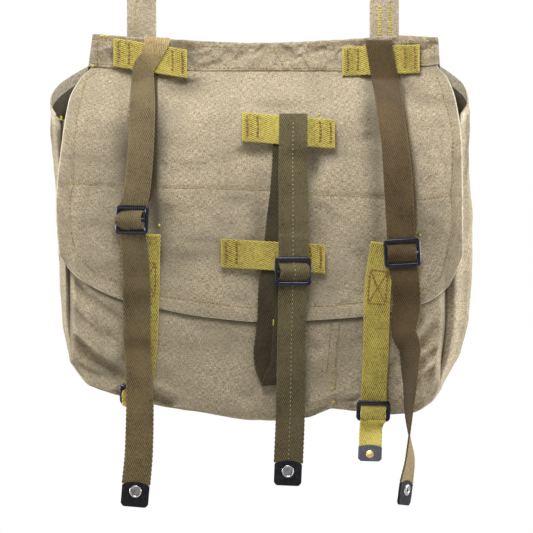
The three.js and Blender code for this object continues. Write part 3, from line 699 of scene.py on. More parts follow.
flap = cloth("canvas_flap", "flap", flap_surface, 190, 150, (345, 260), 1, shade_at=flap_shade)
hem_stitches = sew("flap_stitching", [HEM_STITCHES, MIDDLE_STITCHES], on_face(flap_y), tan_thread)
for vert in front_panel.data.vertices:
    x = vert.co.x / MM
    drop = -vert.co.z / MM - HANG
    covered = 1 - rise(drop, hem_at(x), hem_at(x) + UNDER_HEM_REACH)
    crossed = flap_y(x, drop) + CANVAS + BEHIND_FLAP - vert.co.y / MM
    vert.co.y += covered * max(0, crossed) * MM

# Top band. A doubled strip of the canvas along the bag's top edge, sewn down over the flap's and the back
# panel's upper edges, with a row of stitches along each of its own edges and across its ends.
BAND_FACE = -7.85
DOUBLED = 2.5
BAND_LEFT = (-145.2, -149)  # x of its ends at the top and at the bottom
BAND_RIGHT = (149, 151)
BAND_THICK = 2
BAND_TOP_ROW = 4.4  # its rows of stitches from its edges
BAND_BOTTOM_ROW = 2.6
BAND_GROOVE = 0.6
BAND_CREASES = [(1.5, 17, 15)]
BAND_SLANT = 0.8
BAND_DENTS = [(0.3, 6, 17)]
BAND_LOOSE = (0.1, 0.4)  # shares down it between which its creases deepen, and fade out again
BAND_SEWN = (0.75, 1)
BAND_TURN = (0.7, 1)  # and between which its lower edge turns in, and how far
BAND_TURN_IN = 1.7
BAND_WAVER = [(0.5, 9, 19)]
# Patches of painted shade on the band, darkest beside the left keeper's right end.
BAND_SHADE = [  # x, drop, half width, half height, share
    (-140, 12, 16, 14, 0.4),
    (-70, 15, 18, 16, 0.8),
    (108, 4, 20, 8, 0.25),
]
BAND_STITCHES = [
    [(-141, -1), (-141, 24)],
    [(142.5, 0), (142.5, 23)],
    [(146.2, 0), (146.2, 23)],
    [(2.6, 8), (-5.1, 27)],
    [(8.5, 9), (18.7, 27)],
    [(x, band_top(x) + BAND_TOP_ROW) for x in range(-146, 150, 8)],
    [(x, band_bottom(x) - BAND_BOTTOM_ROW) for x in range(-146, 150, 8)],
]


def band_y(x, drop):
    share = (drop - band_top(x)) / (band_bottom(x) - band_top(x))
    seamed = math.exp(-(((drop - band_top(x) - BAND_TOP_ROW) / GROOVE_REACH) ** 2))
    creased = crumple(BAND_CREASES, x + BAND_SLANT * drop, drop, 1) + crumple(BAND_DENTS, x, drop, 1)
    middle = rise(share, *BAND_LOOSE) * (1 - rise(share, *BAND_SEWN))
    return BAND_FACE + BAND_GROOVE * seamed + creased * middle + BAND_TURN_IN * rise(share, *BAND_TURN)


# Painted shade on the band.
def band_shade(x, drop):
    return hollows(BAND_SHADE, x, drop)


def band_surface(across, down):
    left = lerp(BAND_LEFT[0], BAND_LEFT[1], down)
    x = lerp(left, lerp(BAND_RIGHT[0], BAND_RIGHT[1], down), across)
    drop = lerp(band_top(x), band_bottom(x), down) + crumple(BAND_WAVER, x, 0)
    return place(x, band_y(x, drop), drop)


puckered = canvas_material("puckered canvas of the band", "#7b7058", "#c4b69d", "#827b69", rumple=(15, 12))
top_band = cloth(
    "canvas_band", "top_band", band_surface, 170, 20, (300, 28), 0.3,
    thickness=BAND_THICK, right_side=puckered, inside=canvas, shade_at=band_shade,
)
band_stitches = sew("band_stitching", BAND_STITCHES, on_face(band_y), tan_thread)

# Shoulder strap. The canvas again, folded to a doubled strip and edge-stitched, its two ends sewn flat
# behind the band. It rises in two legs that turn crosswise, and goes over the hook in a half round.
STRAP_WIDTH = 25
STRAP_SPACING = 207
ROOT_DROP = 35
TWIST_LENGTH = 260
STRAP_ROW = 5.3  # its row of stitches from its middle line
STRAP_GROOVE = 0.25
STRAP_GROOVE_REACH = 1.2
STRAP_DENTS = [(0.2, 16, 21)]
STRAP_RADIUS = STRAP_SPACING / 2
STRAP_CROWN = DOUBLED / 2
STRAP_LEG = HANG + ROOT_DROP + STRAP_CROWN - STRAP_RADIUS
STRAP_LENGTH = 2 * STRAP_LEG + math.pi * STRAP_RADIUS


def strap_spot(run):
    """The strap's middle line, from its left root over the crown to its right root, in millimetres."""
    low = STRAP_CROWN - STRAP_RADIUS - STRAP_LEG
    if run < STRAP_LEG:
        return Vector((-STRAP_RADIUS, 0, low + run))
    if run > STRAP_LENGTH - STRAP_LEG:
        return Vector((STRAP_RADIUS, 0, low + STRAP_LENGTH - run))
    angle = (run - STRAP_LEG) / STRAP_RADIUS
    return Vector((-STRAP_RADIUS * math.cos(angle), 0, low + STRAP_LEG + STRAP_RADIUS * math.sin(angle)))


def strap_face(across, run):
    """A point on the strap's outer face and its outward normal, across from the middle line."""
    along = (strap_spot(run + 1) - strap_spot(run - 1)).normalized()
    nearer = min(run, STRAP_LENGTH - run)
    flat = 1 - rise(nearer, STRAP_LEG - TWIST_LENGTH, STRAP_LEG)
    sideways = Matrix.Rotation(flat * math.pi / 2, 3, along) @ Vector((0, 1, 0))
    outward = along.cross(sideways).normalized()
    hem = STRAP_GROOVE * math.exp(-(((abs(across) - STRAP_ROW) / STRAP_GROOVE_REACH) ** 2))
    soft = crumple(STRAP_DENTS, across, run)
    return (strap_spot(run) + sideways * across + outward * (DOUBLED / 2 - hem + soft)) * MM, outward


def strap_surface(across, down):
    return strap_face((0.5 - across) * STRAP_WIDTH, (1 - down) * STRAP_LENGTH)[0]


shoulder_strap = cloth(
    "canvas_strap", "shoulder_strap", strap_surface, 14, 420, (STRAP_WIDTH, STRAP_LENGTH), 0.4,
    thickness=DOUBLED, inside=canvas,
)
yellow_thread = thread_material("yellow-green cotton thread", "#8f8224", "#d8c95e")
ROW_START = 3
ROOT_SEWN = 62  # how far up the right leg its two bundles of close stitches go
ROOT_BUNDLES = (-5, -4, -3, 3.6, 4.6, 5.6)  # rows of them, from the middle line
edge_rows = [[(STRAP_ROW, ROW_START), (STRAP_ROW, STRAP_LENGTH - ROOT_SEWN)]]
strap_stitches = sew("strap_stitching", edge_rows, strap_face, tan_thread)
root_rows = [[(at, STRAP_LENGTH - ROOT_SEWN), (at, STRAP_LENGTH)] for at in ROOT_BUNDLES]
root_stitches = sew(
    "root_stitching", root_rows, strap_face, yellow_thread, "yellow_webbing", long=1.5, wide=1.3,
)

# Tacks. Short knots of the same yellow-green thread, which hold the band's corner, the mouth and the seams.
TACKS = [
    [(-147, 23.2), (-142, 24.6)],
    [(-139, -1.6), (-131, -1.2)],
    [(-174, 70.6), (-170, 69)],
    [(-172, 66.5), (-171.6, 70.5)],
    [(58.4, 296.5), (58.9, 301.5)],
    [(59.6, 308.4), (60, 312.6)],
    [(131.8, 166.6), (134.6, 170.6)],
    [(46.6, 67.4), (48.4, 64.8)],
    [(-88, 158.5), (-88.4, 164)],
]
mouth_corner_y = gusset_surface(1, 0).y / MM - CANVAS


def tacked_y(x, drop):
    """What a tack is sewn on: the band, the mouth's corner, the flap or the front panel."""
    if drop < band_bottom(x):
        return band_y(x, drop)
    if x < flap_left(drop):
        return mouth_corner_y
    return flap_y(x, drop) if drop < flap_hem(0.5) else front_y(x, drop)


tack_face = on_face(tacked_y)
sew("tacks_thread", TACKS, tack_face, yellow_thread, "yellow_webbing", long=3.6, gap=0.4, wide=2.6)

# Keepers. Four short lengths of mustard webbing, each sewn down at both ends with two rows of brown thread
# and left loose in the middle, so that a strap can run under it: two on the band and two on the flap.
WEBBING = 1.5
NUB_WIDE = 0.87  # one woven nub, across and along
NUB_LONG = 1.9
NUB_RISE = 0.07
EDGE_OUT = 0.15  # how far its edge threads stand out, and how much that changes from nub to nub
EDGE_SCALLOP = 0.2
ROW_STEP = 0.4  # share of a row over which the webbing's slope is measured
DYE_SPOT = 2.4
DYE_PATCH = 30
KEEPER_WIDTH = 24
KEEPER_RAMP = 5
KEEPER_SEWN = 1.25
KEEPER_RAISED = 3.5
KEEPERS = {  # start x, drop; end x, drop; raised from x, to x
    "band_keeper_left": (-127.5, 12.3, -64.6, 22.5, -118, -80),
    "band_keeper_right": (67.6, 20.4, 133.5, 17.9, 86, 119),
    "flap_keeper_upper": (-17.9, 76.5, 61.2, 82.9, 5, 40),
    "flap_keeper_lower": (-35.7, 183.6, 52.7, 188.7, -4, 28),
}


def webbing_material(name, nub, gap, fuzz):
    """Cotton webbing: rows of woven nubs in the yarn's colour with painted shade between them, paler along
    its worn edges, and made lighter or darker along its length by a brightness of painted shade and light."""
    material, tree, shader = new_material(name)
    threads = add(tree, "UVMap", {}, uv_map="threads", out="UV")
    scale = (math.pi / NUB_WIDE, math.pi / NUB_LONG, 1)
    turns = add(tree, "VectorMath", {0: threads, 1: scale}, operation="MULTIPLY")
    turn = add(tree, "SeparateXYZ", {0: turns}).node.outputs
    over = add(tree, "Math", {0: turn[0]}, operation="COSINE")
    under = add(tree, "Math", {0: turn[1]}, operation="COSINE")
    weave = add(tree, "Math", {0: over, 1: under}, operation="MULTIPLY")
    column = add(tree, "Math", {0: over, 1: over}, operation="MULTIPLY")
    row = add(tree, "Math", {0: under, 1: under, 2: column}, operation="MULTIPLY_ADD")
    ribbed = add(tree, "Math", {0: row, 1: 0.4, 2: weave}, operation="MULTIPLY_ADD")
    dye = add(tree, "TexNoise", {"Vector": threads, "Scale": 1 / DYE_SPOT, "Detail": 3})
    patches = add(tree, "TexNoise", {"Vector": threads, "Scale": 1 / DYE_PATCH, "Detail": 2})
    uneven = add(tree, "Math", {0: dye, 1: patches}, operation="ADD")
    lift = add(tree, "Math", {0: ribbed, 1: 0.6, 2: uneven}, operation="MULTIPLY_ADD")
    # Painted shade between the nubs: the gap colour, mixed in by the weave and uneven dye.
    top = add(tree, "MapRange", {"Value": lift, "From Min": 0.6, "From Max": 1.4})
    shaded_weave = add(tree, "Mix", {0: top, 6: linear(gap), 7: linear(nub)}, data_type="RGBA", out=2)
    edge = add(tree, "Attribute", {}, attribute_name="worn", out="Fac")
    rubbed = add(tree, "Math", {0: edge, 1: 0.55}, operation="MULTIPLY")
    edged = add(tree, "Mix", {0: rubbed, 6: shaded_weave, 7: linear(fuzz)}, data_type="RGBA", out=2)
    # Scales the colour by a brightness along the strap: painted shade and painted light.
    brightness_along = add(tree, "Attribute", {}, attribute_name="brightness_along", out="Fac")
    colour = add(tree, "VectorMath", {0: edged, "Scale": brightness_along}, operation="SCALE")
    tree.links.new(colour, shader.inputs["Base Color"])
    fibre = add(tree, "Math", {0: ribbed, 1: dye}, operation="ADD")
    bump = add(tree, "Bump", {"Height": fibre, "Strength": 0.6, "Distance": 0.35 * MM})
    tree.links.new(bump, shader.inputs["Normal"])
    shader.inputs["Roughness"].default_value = 0.85
    shader.inputs["Specular IOR Level"].default_value = 0.25
    shader.inputs["Sheen Weight"].default_value = 0.08
    return material


def webbing(node, slot, surface, width, length, material, brightness_along=lambda along: 1):
    """Webbing on a surface of shares across and along, its nubs standing out and its edges scalloped."""
    columns = round(width / NUB_WIDE)
    rows = round(length / NUB_LONG)
    step = ROW_STEP / rows
    mesh = bmesh.new()
    uv = mesh.loops.layers.uv.new("threads")
    worn = mesh.verts.layers.float.new("worn")
    bright = mesh.verts.layers.float.new("brightness_along")
    bmesh.ops.create_grid(mesh, x_segments=columns, y_segments=rows, size=0.5)
    for face in mesh.faces:
        for corner in face.loops:
            spot = corner.vert.co
            corner[uv].uv = ((spot.x + 0.5) * columns * NUB_WIDE, (0.5 - spot.y) * rows * NUB_LONG)
    for vert in mesh.verts:
        across = vert.co.x + 0.5
        along = 0.5 - vert.co.y
        column = round(across * columns)
        row = round(along * rows)
        spot = surface(across, along)
        sideways = (surface(1, along) - surface(0, along)).normalized()
        upward = surface(across, max(along - step, 0)) - surface(across, min(along + step, 1))
        normal = sideways.cross(upward).normalized()
        nub = 1 if (column + row) % 2 == 0 else -1
        rim = -1 if column == 0 else 1 if column == columns else 0
        vert[worn] = max(abs(rim), row in (0, rows))
        # Brightness along the length: painted shade and painted light.
        vert[bright] = brightness_along(along)
        vert.co = spot + (normal * nub * NUB_RISE + sideways * rim * (EDGE_OUT + EDGE_SCALLOP * nub)) * MM
    made = piece_of(node + "_webbing", mesh, material, slot, node)
    wall = made.modifiers.new("wall", "SOLIDIFY")
    wall.thickness = WEBBING * MM
    wall.offset = 0
    return made


def carrier_y(x, drop):
    """What webbing lies on: the band at the top, and the flap or the line below it further down."""
    return min(BAND_FACE, flap_plain(x, drop))


brown_thread = thread_material("brown cotton thread", "#644a20", "#98773c")
# The gap colour is painted shade between the nubs.
mustard = webbing_material("mustard cotton webbing", "#bfaf57", "#1f1904", "#c9b95e")
END_ROWS = (4.2, 13)  # rows of stitches this far from each end of a keeper
ROW_HALF = 10.5
ROW_BOW = 0.6
for name, (start_x, start_drop, end_x, end_drop, raised_from, raised_to) in KEEPERS.items():
    keeper_off = curve_of([
        (start_x, KEEPER_SEWN),
        (raised_from - KEEPER_RAMP, KEEPER_SEWN),
        (raised_from, KEEPER_RAISED),
        (raised_to, KEEPER_RAISED),
        (raised_to + KEEPER_RAMP, KEEPER_SEWN),
        (end_x, KEEPER_SEWN),
    ])

    def keeper_y(x, drop):
        return carrier_y(x, drop) - keeper_off(x)

    def keeper_surface(across, along):
        x = lerp(start_x, end_x, along)
        drop = lerp(start_drop, end_drop, along) + (0.5 - across) * KEEPER_WIDTH
        return place(x, keeper_y(x, drop), drop)

    keeper = webbing(name, "yellow_webbing", keeper_surface, KEEPER_WIDTH, end_x - start_x, mustard)
    lean = (end_drop - start_drop) / (end_x - start_x)
    columns = [start_x + END_ROWS[0], start_x + END_ROWS[1], end_x - END_ROWS[1], end_x - END_ROWS[0]]
    ends = [(x, start_drop + lean * (x - start_x)) for x in columns]
    lines = [[(x, drop - ROW_HALF), (x + ROW_BOW, drop), (x, drop + ROW_HALF)] for x, drop in ends]
    keeper_face = on_face(lambda x, drop: keeper_y(x, drop) - WEBBING / 2 - NUB_RISE)
    rows = sew(name + "_stitching", lines, keeper_face, brown_thread, "yellow_webbing", gap=0.1, wide=2.3)

# Olive straps. Three lengths of olive cotton webbing. Each goes up behind a keeper, over it and down in
# front, through a slide buckle, and hangs free to a tab. The middle one leaves a slack loop below the flap.
UNDER_KEEPER = 1.2
OVER_KEEPER = 5.8
OVER_STRAP = 3.3
BAR_PITCH = 10.5
WEAVE = 2.6  # how far webbing stands off the middle of a buckle as it passes a bar
ANCHOR = 2.05
ANCHOR_PAST = 1.5  # a sewn end goes this far below its bar, and lies flat this far above it
ANCHOR_FLAT = 4
ANCHOR_EASE = 0.3
FOLD_SHOULDER = 3  # webbing bends over a keeper from these drops below the fold
FOLD_FOOT = 9
FOLD_NARROW = 1  # it is this much narrower near the fold and on it
FOLD_GATHERED = 1.5
LEFT_BUCKLE = (-111, 155.5, -0.04, 8.6, 25)  # x, drop, lean, level off the flap and turn
CENTRE_BUCKLE = (25.5, 199.3, 0, 8.1, 0)
RIGHT_BUCKLE = (118, 183.6, 0.06, 7.3, 0)
PATH_MARKS = 600
PATH_REACH = 0.2


def strap_path(rows):
    """Follows rows of x, drop, off, turn and width. Gives the webbing's place and directions at a share of
    its length, and that length in millimetres."""
    runs = [0]
    for row, following in zip(rows, rows[1:]):
        runs.append(runs[-1] + math.dist(row[:3], following[:3]))
    table = [(run, *row) for run, row in zip(runs, rows)]
    x, drop, off, turn, width = (curve_of(table, column) for column in range(1, 6))

    def spot(run):
        return place(x(run), carrier_y(x(run), drop(run)) - off(run), drop(run))

    marks = [runs[-1] * i / PATH_MARKS for i in range(PATH_MARKS + 1)]
    lengths = [0]
    for mark, following in zip(marks, marks[1:]):
        lengths.append(lengths[-1] + (spot(following) - spot(mark)).length)

    @functools.lru_cache(maxsize=None)
    def at(share):
        length = share * lengths[-1]
        i = min(max(bisect.bisect_right(lengths, length), 1), PATH_MARKS)
        run = lerp(marks[i - 1], marks[i], (length - lengths[i - 1]) / (lengths[i] - lengths[i - 1]))
        along = (spot(min(run + PATH_REACH, runs[-1])) - spot(max(run - PATH_REACH, 0))).normalized()
        sideways = (Vector((1, 0, 0)) - along * along.x).normalized()
        across = Matrix.Rotation(math.radians(turn(run)), 3, along) @ sideways
        return spot(run), along, across, width(run)

    return at, lengths[-1] / MM


def strap_on(node, slot, rows, material, brightness_curve=((0, 1), (1, 1))):
    """Webbing along rows, and the path it follows. Its brightness curve, by share of its length, paints
    shade and light on it.
    """
    path, length = strap_path(rows)

    def surface(across, along):
        centre, _, sideways, width = path(along)
        return centre + sideways * (across - 0.5) * width * MM

    return webbing(node, slot, surface, rows[0][4], length, material, curve_of(brightness_curve)), path, length


def face_of(path, length):
    """The front of a strap, as a function of the distance from its middle line and along it."""
    def at(across, run):
        centre, along, sideways, _ = path(run / length)
        outward = along.cross(sideways)
        return centre + (sideways * across + outward * (WEBBING / 2 + NUB_RISE)) * MM, outward

    return at


def over_keeper(behind, fold_x, front, top_drop, bottom_drop, wide):
    """Up behind a keeper, over its top edge and down in front of it, by x at the keeper's edges."""
    shoulder = top_drop + FOLD_SHOULDER
    foot = top_drop + FOLD_FOOT
    near = wide - FOLD_NARROW
    gathered = wide - FOLD_GATHERED
    return [
        (behind[0], bottom_drop, UNDER_KEEPER, 0, wide),
        (behind[1], foot, UNDER_KEEPER, 0, wide),
        (fold_x, shoulder, UNDER_KEEPER, 0, near),
        (fold_x, top_drop, (UNDER_KEEPER + OVER_KEEPER) / 2, 0, gathered),
        (fold_x, shoulder, OVER_KEEPER, 0, gathered),
        (front[0], foot, OVER_KEEPER, 0, gathered),
        (front[1], bottom_drop, OVER_KEEPER, 0, near),
    ]


def anchored_end(buckle, wide):
    """The end that comes from above and is sewn behind the middle bar of its buckle."""
    x, drop, lean, level, turn = buckle
    return [
        (x, drop + ANCHOR_PAST, level - ANCHOR, -turn, wide),
        (x - ANCHOR_FLAT * lean, drop - ANCHOR_FLAT, level - ANCHOR, -turn, wide),
        (x - BAR_PITCH * lean, drop - BAR_PITCH, level - ANCHOR - WEAVE + ANCHOR_EASE, -turn, wide),
    ]


def through_buckle(buckle, wide, shift):
    """Behind the top bar, over the middle one, where it can lie to one side, and behind the last."""
    x, drop, lean, level, turn = buckle
    return [
        (x - BAR_PITCH * lean, drop - BAR_PITCH, level - WEAVE, turn, wide),
        (x + shift, drop, level + WEAVE, turn, wide),
        (x + BAR_PITCH * lean, drop + BAR_PITCH, level - WEAVE, turn, wide),
    ]


LEFT_ROWS = [
    *anchored_end(LEFT_BUCKLE, 23),
    (-101, 125, 2.2, -14, 23),
    (-101, 85, UNDER_KEEPER, 0, 23),
    (-101, 62, 2, 0, 23),
    (-101, 45, 2.3, 0, 22),
    (-100, 31, UNDER_KEEPER, 0, 21),
    (-94, 9, UNDER_KEEPER, 0, 21),
    (-90.5, 3, UNDER_KEEPER, 0, 21.5),
    (-90, 0.2, (UNDER_KEEPER + OVER_KEEPER) / 2, 0, 21.8),
    (-90.5, 3, OVER_KEEPER, 0, 21.5),
    (-93.5, 11, OVER_KEEPER, 0, 18.5),
    (-96.5, 18, OVER_KEEPER + 0.4, 0, 16.5),
    (-100.6, 23.5, OVER_KEEPER + 1, 4, 18),
    (-102, 29, 7.4, 10, 17.8),
    (-102.4, 45, 10.2, 28, 22),
    (-102.4, 62, 10.2, 28, 24),
    (-103, 85, 9.2, 28, 24),
    (-105, 115, 8.2, 26, 24),
    (-107.5, 135, 7, 25, 24),
    *through_buckle(LEFT_BUCKLE, 24.4, -3.7),
    (-109, 177, 5.5, 18, 23),
    (-107.5, 200, 5, 6, 23),
    (-107, 213, 6.5, 0, 23),
    (-106.8, 228, 3, 0, 23),
    (-106.5, 254, 8, 0, 23),
    (-106, 266, 4, 0, 22.5),
    (-104.5, 292, 7.7, 0, 22.5),
    (-104.2, 312, 7.8, 0, 23),
    (-105, 350, 6.5, 0, 23.5),
    (-107.5, 379.5, 6.5, 0, 24),
]
CENTRE_ROWS = [
    (25.5, 197.3, 6.05, 0, 24),
    (25.5, 203.8, 5.55, 0, 24),
    (25.5, 209.8, 3.1, 0, 24),
    (25, 218, 3, 0, 24),
    (22.3, 235, 3, 0, 24),
    (20.5, 248, 3, 0, 24),
    (19, 270, 3, 0, 24),
    (17.6, 281, 2.9, 0, 24),
    (13.2, 290, 2.6, 0, 24),
    (12, 293.6, 1.8, 0, 24),
    (11.8, 294.8, 0.5, 0, 24),
    (11.6, 293.6, -0.8, 0, 24),
    (10.4, 290, -1.5, 0, 24),
    (5.6, 279, -1.6, 0, 24),
    (4.3, 267, -1.2, 0, 24),
    (5.9, 254, 0, 0, 24),
    (7.4, 239, UNDER_KEEPER, 0, 24),
    (8.2, 215, UNDER_KEEPER, 0, 24),
    (12, 187, UNDER_KEEPER, 0, 24),
    (15.5, 153, UNDER_KEEPER, 0, 24),
    (18.2, 132, UNDER_KEEPER, 0, 24),
    (19.8, 110, UNDER_KEEPER, 0, 24),
    *over_keeper((21, 25), 25.7, (25.6, 25.4), 65.8, 92, 24.8),
    (25.2, 106, OVER_STRAP, 0, 24),
    (25.5, 140, OVER_STRAP, 0, 24.3),
    (25.5, 164, OVER_STRAP, 0, 24.3),
    (25.5, 172, OVER_KEEPER + 0.2, 0, 24.3),
    *through_buckle(CENTRE_BUCKLE, 24, 2),
    (24.8, 235, 5, 0, 23.8),
    (24, 262, 5, 0, 23.8),
    (23.7, 286, 5.2, 0, 24),
    (23, 325, 4, 0, 24.3),
    (21.5, 361.5, 3.5, 0, 24.5),
]
RIGHT_ROWS = [
    *anchored_end(RIGHT_BUCKLE, 24),
    (119, 155, 2.4, 0, 24),
    (116.5, 120, UNDER_KEEPER, 0, 24),
    (112, 85, UNDER_KEEPER, 0, 24),
    (109, 62, 2, 0, 24),
    (107, 46, 2.3, 0, 24),
    *over_keeper((105, 101), 98.8, (99.8, 103.6), 2.5, 33, 23.5),
    (106.5, 46, 9.2, -22, 23.5),
    (108.5, 62, 9.2, -22, 23.5),
    (111.3, 85, 8.2, -22, 24),
    (114.5, 120, 5.8, -10, 24.5),
    (116.2, 152, 4.4, 0, 24),
    *through_buckle(RIGHT_BUCKLE, 24, 0),
    (120.8, 208, 5.5, 0, 23.5),
    (121.6, 226, 2.6, 4, 23.5),
    (119.6, 250, 5, 33, 24),
    (124.6, 265, 6.6, 44, 24),
    (124.6, 291, 7, 62, 24),
    (123.5, 321, 6, 78, 24),
    (124, 342, 6, 94, 24),
    (124.5, 356, 6, 106, 24),
    (121.5, 378, 6, 116, 24),
]

# The gap colour of each webbing is painted shade between its nubs.
brown_olive = webbing_material("brown-olive cotton webbing", "#6b5d40", "#1a1305", "#74664a")
green_olive = webbing_material("green-olive cotton webbing", "#695f43", "#171405", "#6c6346")
dark_olive = webbing_material("dark brown-olive cotton webbing", "#5a4a2f", "#170f03", "#605031")
pale_lit_back = webbing_material("paler back of the olive webbing partly painted light", "#8f7f5d", "#55492f", "#998864")
LEFT_BRIGHTNESS = [  # share of the length, brightness: painted shade behind the keeper, much lighter on the fold, painted light towards its free end
    (0, 0.5), (0.235, 0.5), (0.262, 1.5), (0.285, 2.2), (0.3, 3.2), (0.318, 3), (0.34, 1.75), (0.37, 1.2),
    (0.42, 1.08), (0.56, 1.15), (0.63, 1.05), (0.72, 1.02), (0.86, 1.45), (1, 1.5),
]
# Centre strap: painted shade on the limb that runs behind and on its loop.
CENTRE_BRIGHTNESS = [(0, 0.42), (0.485, 0.42), (0.535, 1), (0.9, 1), (1, 1.06)]
# Right strap: painted shade where it runs behind its keeper, lighter further down.
RIGHT_BRIGHTNESS = [
    (0, 0.5), (0.285, 0.5), (0.335, 0.93), (0.42, 0.98), (0.5, 1.2), (0.6, 1.2), (0.67, 1.03), (1, 1.03),
]
OLIVE_STRAPS = {  # rows, webbing, slot, brightness curve
    "left": (LEFT_ROWS, brown_olive, "olive_webbing", LEFT_BRIGHTNESS),
    "centre": (CENTRE_ROWS, green_olive, "dark_olive_webbing", CENTRE_BRIGHTNESS),
    "right": (RIGHT_ROWS, dark_olive, "olive_webbing", RIGHT_BRIGHTNESS),
}
ends = {}
paths = {}
olive_straps = {}
for side, (rows, material, slot, brightness_curve) in OLIVE_STRAPS.items():
    strap, path, length = strap_on(side + "_strap", slot, rows, material, brightness_curve)
    ends[side] = path(1)
    paths[side] = path, length
    olive_straps[side] = strap

# The back of the right strap is paler, partly in its own colour and partly as painted light where its
# twisted end catches the light, and a pale tacking thread runs down the middle of the centre one.
olive_straps["right"].data.materials.append(pale_lit_back)
olive_straps["right"].modifiers["wall"].material_offset = 1
pale_thread, tree, shader = new_material("pale cotton thread")
shader.inputs["Base Color"].default_value = linear("#b3a881")
shader.inputs["Roughness"].default_value = 0.8
path, length = paths["centre"]
TACKED_FROM = 0.54  # share of its length
TACKED_SHORT = 2  # and this far short of its end
LOOSE_END = [[(9, 239.4), (8.6, 245.6)]]
tacked = [[(0, TACKED_FROM * length), (0, length - TACKED_SHORT)]]
tacking = sew(
    "centre_strap_thread", tacked, face_of(path, length), pale_thread, "dark_olive_webbing",
    long=1.3, gap=2.45, wide=0.9,
)
loose_face = on_face(lambda x, drop: carrier_y(x, drop) - OVER_STRAP - WEBBING / 2)
golden_end = sew(
    "centre_strap_loose_end", LOOSE_END, loose_face, yellow_thread, "yellow_webbing", long=6, wide=1.6,
)

# Slide buckles. Steel bar bent into a frame and welded, with a bar across the middle of the larger ones,
# all in blue-black enamel that is rubbed and catches the light. The webbing holds them where they are.
BAR = 3.8
WIRE = 2.2
BUCKLE_WIDTH = 31.4
BUCKLE_CORNER = 2.2
CLOSURE_BUCKLE_WIDTH = 29
CLOSURE_PITCH = 14
CLOSURE_BAR = 3.6
CHIP_SPACING = 5
LEFT_CLOSURE_BUCKLE = (-107, 303, 0.03, 3.2, 0)
RIGHT_CLOSURE_BUCKLE = (93.5, 317.5, -0.04, 3.2, 0)
enamel, tree, shader = new_material("blue-black enamelled steel")
spot = add(tree, "TexCoord", {}, out="Object")
wear = add(tree, "TexNoise", {"Vector": spot, "Scale": 1 / (CHIP_SPACING * MM), "Detail": 4})
chips = add(tree, "MapRange", {"Value": wear, "From Min": 0.6, "From Max": 0.72, "To Max": 0.5})
colour = add(tree, "Mix", {0: chips, 6: linear("#09090d"), 7: linear("#25252e")}, data_type="RGBA", out=2)
tree.links.new(colour, shader.inputs["Base Color"])
rough = add(tree, "MapRange", {"Value": wear, "To Min": 0.12, "To Max": 0.4})
tree.links.new(rough, shader.inputs["Roughness"])
dimples = add(tree, "Bump", {"Height": wear, "Strength": 0.25, "Distance": 0.2 * MM})
tree.links.new(dimples, shader.inputs["Normal"])
shader.inputs["Specular Tint"].default_value = linear("#cdd0f7")
shader.inputs["Specular IOR Level"].default_value = 0.5


def bent_frame(mesh, width, height):
    """A closed frame: an oval section drawn along each side and spun round each corner."""
    reach_x = width / 2 - BAR / 2 - BUCKLE_CORNER
    reach_y = height / 2 - BAR / 2 - BUCKLE_CORNER
    ring = bmesh.ops.create_circle(mesh, segments=10, radius=0.5)["verts"]
    bmesh.ops.scale(mesh, vec=(BAR, WIRE, 1), verts=ring)
    stand = Matrix.Rotation(math.pi / 2, 4, "Y") @ Matrix.Rotation(math.pi / 2, 4, "Z")
    bmesh.ops.transform(mesh, matrix=stand, verts=ring)
    bmesh.ops.translate(mesh, vec=(-reach_x, reach_y + BUCKLE_CORNER, 0), verts=ring)
    rim = list({edge for vert in ring for edge in vert.link_edges})
    sides = [(2 * reach_x, 0), (0, -2 * reach_y), (-2 * reach_x, 0), (0, 2 * reach_y)]
    corners = [(reach_x, reach_y), (reach_x, -reach_y), (-reach_x, -reach_y), (-reach_x, reach_y)]
    for (x, y), corner in zip(sides, corners):
        drawn = bmesh.ops.extrude_edge_only(mesh, edges=rim)["geom"]
        moved = [part for part in drawn if isinstance(part, bmesh.types.BMVert)]
        bmesh.ops.translate(mesh, vec=(x, y, 0), verts=moved)
        rim = [part for part in drawn if isinstance(part, bmesh.types.BMEdge)]
        spun = bmesh.ops.spin(
            mesh, geom=moved + rim, cent=(*corner, 0), axis=(0, 0, 1), angle=-math.pi / 2, steps=5,
            use_merge=False,
        )["geom_last"]
        rim = [part for part in spun if isinstance(part, bmesh.types.BMEdge)]
    bmesh.ops.remove_doubles(mesh, verts=mesh.verts, dist=0.01)


def cross_bar(mesh, width, height, thick):
    """A bar across a frame, its ends inside the frame's sides."""
    lay = Matrix.Rotation(math.pi / 2, 4, "Y")
    rod = bmesh.ops.create_cone(
        mesh, cap_ends=True, segments=10, radius1=0.5, radius2=0.5, depth=width - BAR, matrix=lay,
    )["verts"]
    bmesh.ops.scale(mesh, vec=(1, thick, WIRE), verts=rod)
    bmesh.ops.translate(mesh, vec=(0, height, 0), verts=rod)


def seat(mesh, centre, across, along):
    """Moves a shape drawn flat in millimetres, X across and Y up, to its place on the bag."""
    turned = Matrix((across, -along, along.cross(across))).transposed() * MM
    bmesh.ops.transform(mesh, matrix=Matrix.Translation(centre) @ turned.to_4x4(), verts=mesh.verts)


def buckle_at(buckle, step):
    """A point on the line a buckle lies along, a step below its middle."""
    x, drop, lean, level, _ = buckle
    return place(x + step * lean, carrier_y(x + step * lean, drop + step) - level, drop + step)


